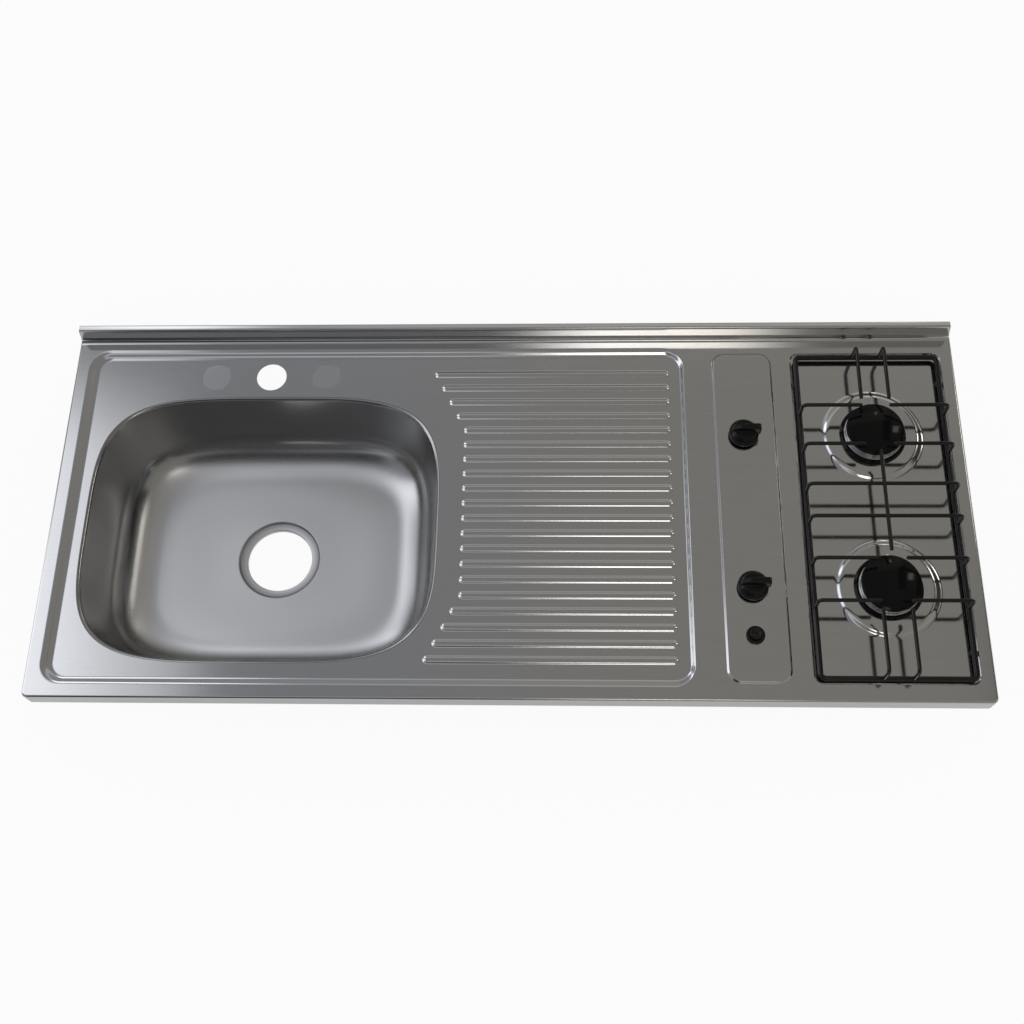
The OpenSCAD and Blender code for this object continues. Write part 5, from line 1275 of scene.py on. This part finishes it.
class KITCHENETTE_OT_controls(bpy.types.Operator):
    """Mould the two knobs, and turn the igniter's bezel and button"""
    bl_idname = "kitchenette.controls"
    bl_label = "Knobs and igniter"

    def execute(self, context):
        hob, c = sizes(context.scene, "hob"), sizes(context.scene, "control")
        for name, (_, y) in burner_places(hob).items():
            self.knob(hob, c, name, hob.control_x, y)
        self.igniter(hob, c)
        return {"FINISHED"}

    def knob(self, hob, c, name, x, y):
        z = hob.panel_height + c.gap
        neck, inside, hub, seam = c.skirt - 0.003, c.skirt - 0.002, 0.007, z + c.skirt_height
        line = [(0, seam + 0.0085), (neck - 0.0022, seam + 0.008), (neck, seam), (c.skirt, seam - 0.0004),
                (c.skirt, z), (inside, z), (inside, seam - 0.002), (hub, seam - 0.002), (hub, z), (0, z)]
        radii = [0.003, 0.001, 0.0022, 0.0004, 0.0004, 0.0006, 0.0006, 0.0004]
        body = turned(f"knob_{name}_disc", "knob_plastic", x, y, rounded(line, radii, 6))
        piece = join([body, self.wing(c, name, x, y, z)], f"knob_{name}_moulded")
        shape = piece.modifiers.new("Fuse", "REMESH")
        shape.mode, shape.voxel_size, shape.use_smooth_shade = "VOXEL", c.voxel, True
        soften = piece.modifiers.new("Soften", "SMOOTH")
        soften.factor, soften.iterations = 0.5, 4
        baked(piece)
        piece.data.materials.clear()
        piece.data.materials.append(finish("knob_plastic"))
        hand_over(piece, f"{name}_knob", "knob_plastic", f"knob_{name}")

    def wing(self, c, name, x, y, z):
        """The wing grip: rounded sections from its tail to its nose, which reaches past the skirt"""
        # for each section: place along the wing, how far its top lies under the knob's, share of the full width
        stations = ((-0.016, 0.009, 0.55), (-0.015, 0.0068, 0.66), (-0.011, 0.0035, 0.74), (-0.005, 0.0008, 0.82),
                    (0.002, 0, 0.88), (0.01, 0, 0.95), (c.reach - 0.0034, 0.0003, 1.0),
                    (c.reach - 0.0009, 0.0012, 0.98), (c.reach, 0.0032, 0.86))
        skin, rows = Skin(), []
        for at, under, width in stations:
            half = c.wing / 2 * width
            low = c.skirt_height + (-0.001 if at < c.skirt - 0.003 else 0.0005)
            section = rounded_box(-half, low, half, c.height - under, min(half, 0.0022) * 0.95, 5)
            rows.append([(x + at, y + v, z + w) for v, w in section])
        rows = np.array(rows)
        skin.grid(rows[::-1], wrap=True)
        for row, look in ((rows[-1], 1), (rows[0], -1)):
            skin.plate(row, (look, 0, 0), flip=look < 0)
        return place(skin.mesh(f"knob_{name}_wing"), "knob_plastic")

    def igniter(self, hob, c):
        x, y, z = hob.control_x, hob.igniter_y, hob.panel_height
        top, inner, neck, under = z + c.bezel_height, c.button + 0.00015, 0.009, -0.046
        line = [(0.0056, top - 0.006), (inner, top - 0.006), (inner, top), (c.bezel, top), (c.bezel, z), (neck, z),
                (neck, under), (0.0, under)]
        body = turned("igniter_body_turned", "igniter_plastic", x, y,
                      rounded(line, [0, 0.0005, 0.0012, 0.0002, 0, 0.0006], 5), around=72)
        hand_over(body, "worktop_unit", "igniter_plastic", "igniter_body")
        high, plunger, foot = top + c.button_height, 0.0054, -0.02
        line = [(0, high - 0.0012), (0.0035, high - 0.001), (0.0052, high), (c.button, high),
                (c.button, top - 0.0015), (plunger, top - 0.0015), (plunger, foot), (0, foot)]
        button = turned("igniter_button_turned", "button_plastic", x, y,
                        rounded(line, [0.01, 0.002, 0.0013, 0.0002, 0, 0.0006], 6), around=72)
        hand_over(button, "igniter_button", "button_plastic", "igniter_button")


class KITCHENETTE_OT_screws(bpy.types.Operator):
    """Screws with a cross recess that hold the floor of the burner box"""
    bl_idname = "kitchenette.screws"
    bl_label = "Floor screws"

    def execute(self, context):
        g = sizes(context.scene, "screw")
        (x0, y0, z0), (x1, y1, z1) = (np.array(c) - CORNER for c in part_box("floor_screws"))
        skin = Skin()
        shank = [(0, z1), (g.shank - 0.0004, z1), (g.shank, z1 - 0.0006), (g.shank, z0 + g.head),
                 (g.radius, z0 + g.head), (g.radius, z0 + 0.3 * g.head), (0.6 * g.radius, z0), (0, z0)]
        skin.lathe(rounded(shank, [0, 0, 0, 0.0003, 0.0004, 0.002], 4), 0, 0, 32)
        mesh = skin.mesh("floor_screw")
        mesh.transform(Matrix.Translation(Vector(-CORNER)))
        screw = place(mesh, "galvanised_steel")
        for turn in (0, 90):
            slot = bmesh.new()
            bmesh.ops.create_cube(slot, size=1, matrix=Matrix.Translation((0, 0, z0)) @ Matrix.Rotation(
                math.radians(turn), 4, "Z") @ Matrix.Diagonal((1.1 * g.radius, g.slot, 1.3 * g.head, 1)))
            cutter = bpy.data.meshes.new("slot")
            slot.to_mesh(cutter)
            slot.free()
            tool = bpy.data.objects.new("slot", cutter)
            context.scene.collection.objects.link(tool)
            cut = screw.modifiers.new("Cross recess", "BOOLEAN")
            cut.operation, cut.solver, cut.object = "DIFFERENCE", "EXACT", tool
            baked(screw)
            bpy.data.objects.remove(tool)
        centre = CORNER + ((x0 + x1) / 2, (y0 + y1) / 2, 0)
        grow(screw, rows_tree(), columns=2, rows=g.rows, width=x1 - x0 - 2 * g.radius,
             depth=y1 - y0 - 2 * g.radius, centre=tuple(centre), finish=finish("galvanised_steel"))
        screw.name = "floor_screws_cross"
        hand_over(screw, "worktop_unit", "galvanised_steel", "floor_screws")
        return {"FINISHED"}


class KITCHENETTE_OT_fittings(bpy.types.Operator):
    """Give the carried-over gas parts, box and rails their finishes"""
    bl_idname = "kitchenette.fittings"
    bl_label = "Gas parts and box"

    def execute(self, context):
        slots = {part["node"]: part["material_slot"] for part in frame["record"]["subparts"]}
        for name, node in frame["nodes"].items():
            for used in node.material_slots:
                used.material = finish(slots[name])
        return {"FINISHED"}


class KITCHENETTE_OT_springs(bpy.types.Operator):
    """Put in the springs under the stems and the igniter's button: merged, smooth copies in bright steel that ride on
    their bodies
    """
    bl_idname = "kitchenette.springs"
    bl_label = "Springs"

    def execute(self, context):
        for node, body, joint in (("tap_spring_rear", "rear_tap_plug", "rear_knob_push"),
                                  ("tap_spring_front", "front_tap_plug", "front_knob_push"),
                                  ("igniter_spring", "worktop_unit", "igniter_push")):
            coil = bmesh.new()
            coil.from_mesh(frame["nodes"][node].data)
            bmesh.ops.remove_doubles(coil, verts=coil.verts, dist=1e-6)
            mesh = bpy.data.meshes.new(node + "_coil")
            coil.to_mesh(mesh)
            coil.free()
            mesh.materials.clear()
            mesh.shade_smooth()
            spring = place(mesh, "bright_steel")
            hand_over(spring, body, "bright_steel", node)
            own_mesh(spring)
        return {"FINISHED"}


# ---------- stage ----------

class KITCHENETTE_OT_stage(bpy.types.Operator):
    """Set up the pale floor, the studio light and the camera"""
    bl_idname = "kitchenette.stage"
    bl_label = "Stage"

    def execute(self, context):
        self.floor(context)
        self.tent(context)
        self.surroundings(context)
        self.lamp(context)
        self.camera(context)
        context.scene.view_settings.view_transform = "Standard"
        return {"FINISHED"}

    def seen(self, b):
        """1 for camera, glossy and transmission rays"""
        path = b.add("ShaderNodeLightPath")
        first = b.math("MAXIMUM", path.outputs["Is Camera Ray"], path.outputs["Is Glossy Ray"])
        return b.math("MAXIMUM", first, path.outputs["Is Transmission Ray"])

    def floor(self, context):
        """A pale floor that shows as white, keeps the shadow, and can be looked through from below"""
        tone, studio = sizes(context.scene, "finish").background, sizes(context.scene, "studio")
        side, z = FLOOR_HALF, cad_box[0][2] - 0.0005
        mesh = bpy.data.meshes.new("floor")
        mesh.from_pydata([(-side, -side, z), (side, -side, z), (side, side, z), (-side, side, z)], [], [(0, 1, 2, 3)])
        ground = bpy.data.objects.new("floor", mesh)
        context.scene.collection.objects.link(ground)
        material = bpy.data.materials.new("pale_floor")
        material.use_nodes = True
        b = Tree(material.node_tree)
        plain = b.tree.nodes["Principled BSDF"]
        plain.inputs["Base Color"].default_value = (*[studio.floor * c for c in tone], 1)
        plain.inputs["Roughness"].default_value = 0.9
        glow = b.add("ShaderNodeEmission", {"Color": (*tone, 1), "Strength": 1.0})
        path = b.add("ShaderNodeLightPath").outputs
        seen = b.math("MULTIPLY", b.math("MAXIMUM", path["Is Camera Ray"], path["Is Transmission Ray"]), studio.white)
        share_seen = b.math("ADD", seen, b.math("MULTIPLY", path["Is Glossy Ray"], studio.mirrored))
        mix = b.add("ShaderNodeMixShader", {0: share_seen, 1: plain.outputs[0], 2: glow.outputs[0]})
        below = b.math("MULTIPLY", b.add("ShaderNodeNewGeometry").outputs["Backfacing"], path["Is Camera Ray"])
        clear = b.add("ShaderNodeBsdfTransparent")
        mix = b.add("ShaderNodeMixShader", {0: below, 1: mix.outputs[0], 2: clear.outputs[0]})
        b.tree.links.new(mix.outputs[0], b.tree.nodes["Material Output"].inputs["Surface"])
        mesh.materials.append(material)

    def tent(self, context):
        """A grey tent for the steel to mirror, with a bright window at its left and a few soft lamps. Matt
        surfaces see it plain white"""
        studio = sizes(context.scene, "studio")
        material = bpy.data.materials.new("grey_tent")
        material.use_nodes = True
        material.cycles.emission_sampling = "NONE"
        b = Tree(material.node_tree)
        b.tree.nodes.clear()
        place_at = b.add("ShaderNodeTexCoord").outputs["Object"]
        way = b.add("ShaderNodeVectorMath", {0: place_at}, operation="NORMALIZE").outputs[0]
        x, y, z = b.add("ShaderNodeSeparateXYZ", {0: way}).outputs

        def fade(value, start, end, low=0.0, high=1.0):
            return b.add("ShaderNodeMapRange", {"Value": value, "From Min": start, "From Max": end, "To Min": low,
                                                "To Max": high}, interpolation_type="SMOOTHSTEP").outputs[0]

        def patch(x0, x1, soft_x, y0, y1, soft_y):
            mask = fade(z, 0.05, 0.15)
            for value, start, end in ((x, x0 - soft_x, x0), (x, x1 + soft_x, x1), (y, y0 - soft_y, y0),
                                      (y, y1 + soft_y, y1)):
                mask = b.math("MULTIPLY", mask, fade(value, start, end))
            return mask

        glow = fade(z, 0.5, 0.8, studio.horizon, studio.zenith)
        for card in STUDIO_CARDS:
            glow = b.math("MULTIPLY", glow, b.math("SUBTRACT", 1.0, b.math("MULTIPLY", patch(*card), studio.card)))
        # the window has a main part and a low one, both behind the worktop's front edge
        window = b.math("MULTIPLY", b.math("ADD", fade(x, -0.35, -0.425, 0.0, 0.54),
                                           fade(x, -0.42, -0.56, 0.0, 0.75)), fade(x, -0.7, -0.6))
        window = b.math("MULTIPLY", window, fade(y, 0.57, 0.45))
        low = b.math("MULTIPLY", fade(x, -0.6, -0.7, 0.0, 1.29), fade(y, 0.42, 0.3))
        window = b.math("MULTIPLY", b.math("MULTIPLY", b.math("ADD", window, low), fade(y, -0.1, 0.05)),
                        fade(z, -0.05, 0.05, 0.0, studio.window))
        glow = b.math("ADD", glow, window)
        for *lamp, bright in STUDIO_LAMPS:
            glow = b.math("ADD", glow, b.math("MULTIPLY", patch(*lamp), bright))
        matt = b.add("ShaderNodeLightPath").outputs["Is Diffuse Ray"]
        strength = b.add("ShaderNodeMix", {0: matt, 2: glow, 3: studio.matt}).outputs[0]
        tint = b.add("ShaderNodeMix", {0: fade(x, -0.3, 0.25), 6: (*studio.left_tint, 1),
                                       7: (*studio.right_tint, 1)}, data_type="RGBA").outputs[2]
        tint = b.add("ShaderNodeMix", {0: matt, 6: tint, 7: (1, 1, 1, 1)}, data_type="RGBA").outputs[2]
        light = b.add("ShaderNodeEmission", {"Color": tint, "Strength": strength})
        b.add("ShaderNodeOutputMaterial", {"Surface": light.outputs[0]})
        bm = bmesh.new()
        bmesh.ops.create_icosphere(bm, subdivisions=4, radius=TENT_RADIUS)
        mesh = bpy.data.meshes.new("grey_tent")
        bm.to_mesh(mesh)
        bm.free()
        mesh.materials.append(material)
        tent = bpy.data.objects.new("grey_tent", mesh)
        context.scene.collection.objects.link(tent)
        tent.visible_camera = False

    def surroundings(self, context):
        """White round the floor"""
        world = bpy.data.worlds.new("studio")
        world.use_nodes = True
        context.scene.world = world
        b = Tree(world.node_tree)
        tone, studio = sizes(context.scene, "finish").background, sizes(context.scene, "studio")
        strength = b.add("ShaderNodeMapRange", {"Value": self.seen(b), "To Min": studio.sky_light,
                                                "To Max": studio.sky})
        back = b.tree.nodes["Background"]
        back.inputs["Color"].default_value = (*tone, 1)
        b.tree.links.new(strength.outputs[0], back.inputs["Strength"])

    def lamp(self, context):
        """One soft lamp beside the camera, for matt surfaces and the floor's shadow"""
        at, to = Vector((0.3, -1.3, 2.3)), Vector((0, 0.2, 0))
        data = bpy.data.lights.new("key", "AREA")
        data.size, data.energy = 0.9, sizes(context.scene, "studio").key
        key = bpy.data.objects.new("key", data)
        key.location = at
        key.rotation_euler = (to - at).to_track_quat("-Z", "Y").to_euler()
        key.visible_glossy = False
        context.scene.collection.objects.link(key)

    def camera(self, context):
        """The camera that took the photograph"""
        elevation, azimuth, roll = (math.radians(a) for a in CAMERA_TURN)
        back = Vector((math.sin(azimuth) * math.cos(elevation), -math.cos(azimuth) * math.cos(elevation),
                       math.sin(elevation)))
        right = Vector((math.cos(azimuth), math.sin(azimuth), 0))
        up = right.cross(-back)
        side = math.cos(roll) * right + math.sin(roll) * up
        top = -math.sin(roll) * right + math.cos(roll) * up
        data = bpy.data.cameras.new("photo_view")
        data.lens, data.sensor_width = CAMERA_LENS, CAMERA_SENSOR
        camera = bpy.data.objects.new("photo_view", data)
        turn = Matrix((side, top, back)).transposed()
        camera.matrix_world = Matrix.Translation(CAMERA_PLACE) @ turn.to_4x4()
        context.scene.collection.objects.link(camera)
        context.scene.camera = camera


OPERATORS = (KITCHENETTE_OT_worktop, KITCHENETTE_OT_bowl, KITCHENETTE_OT_burners, KITCHENETTE_OT_pan_support,
             KITCHENETTE_OT_controls, KITCHENETTE_OT_screws, KITCHENETTE_OT_springs, KITCHENETTE_OT_fittings,
             KITCHENETTE_OT_stage)


class KITCHENETTE_PT_panel(bpy.types.Panel):
    """Buttons for every piece of the kitchenette worktop"""
    bl_label = "Kitchenette worktop"
    bl_idname = "KITCHENETTE_PT_panel"
    bl_space_type = "VIEW_3D"
    bl_region_type = "UI"
    bl_category = "Kitchenette"

    def draw(self, context):
        for operator in OPERATORS:
            self.layout.operator(operator.bl_idname)
        for name, group in GROUPS.items():
            box = self.layout.box()
            for key in group.__annotations__:
                box.prop(getattr(context.scene, "kitchenette_" + name), key)


def register():
    for group in GROUPS.values():
        bpy.utils.register_class(group)
    for operator in OPERATORS:
        bpy.utils.register_class(operator)
    bpy.utils.register_class(KITCHENETTE_PT_panel)
    for name, group in GROUPS.items():
        setattr(bpy.types.Scene, "kitchenette_" + name, bpy.props.PointerProperty(type=group))


def unregister():
    for name in GROUPS:
        delattr(bpy.types.Scene, "kitchenette_" + name)
    for made in (KITCHENETTE_PT_panel, *reversed(OPERATORS), *reversed(GROUPS.values())):
        bpy.utils.unregister_class(made)


def main():
    register()
    for operator in OPERATORS:
        group, name = operator.bl_idname.split(".")
        getattr(getattr(bpy.ops, group), name)()


if __name__ == "__main__":
    main()
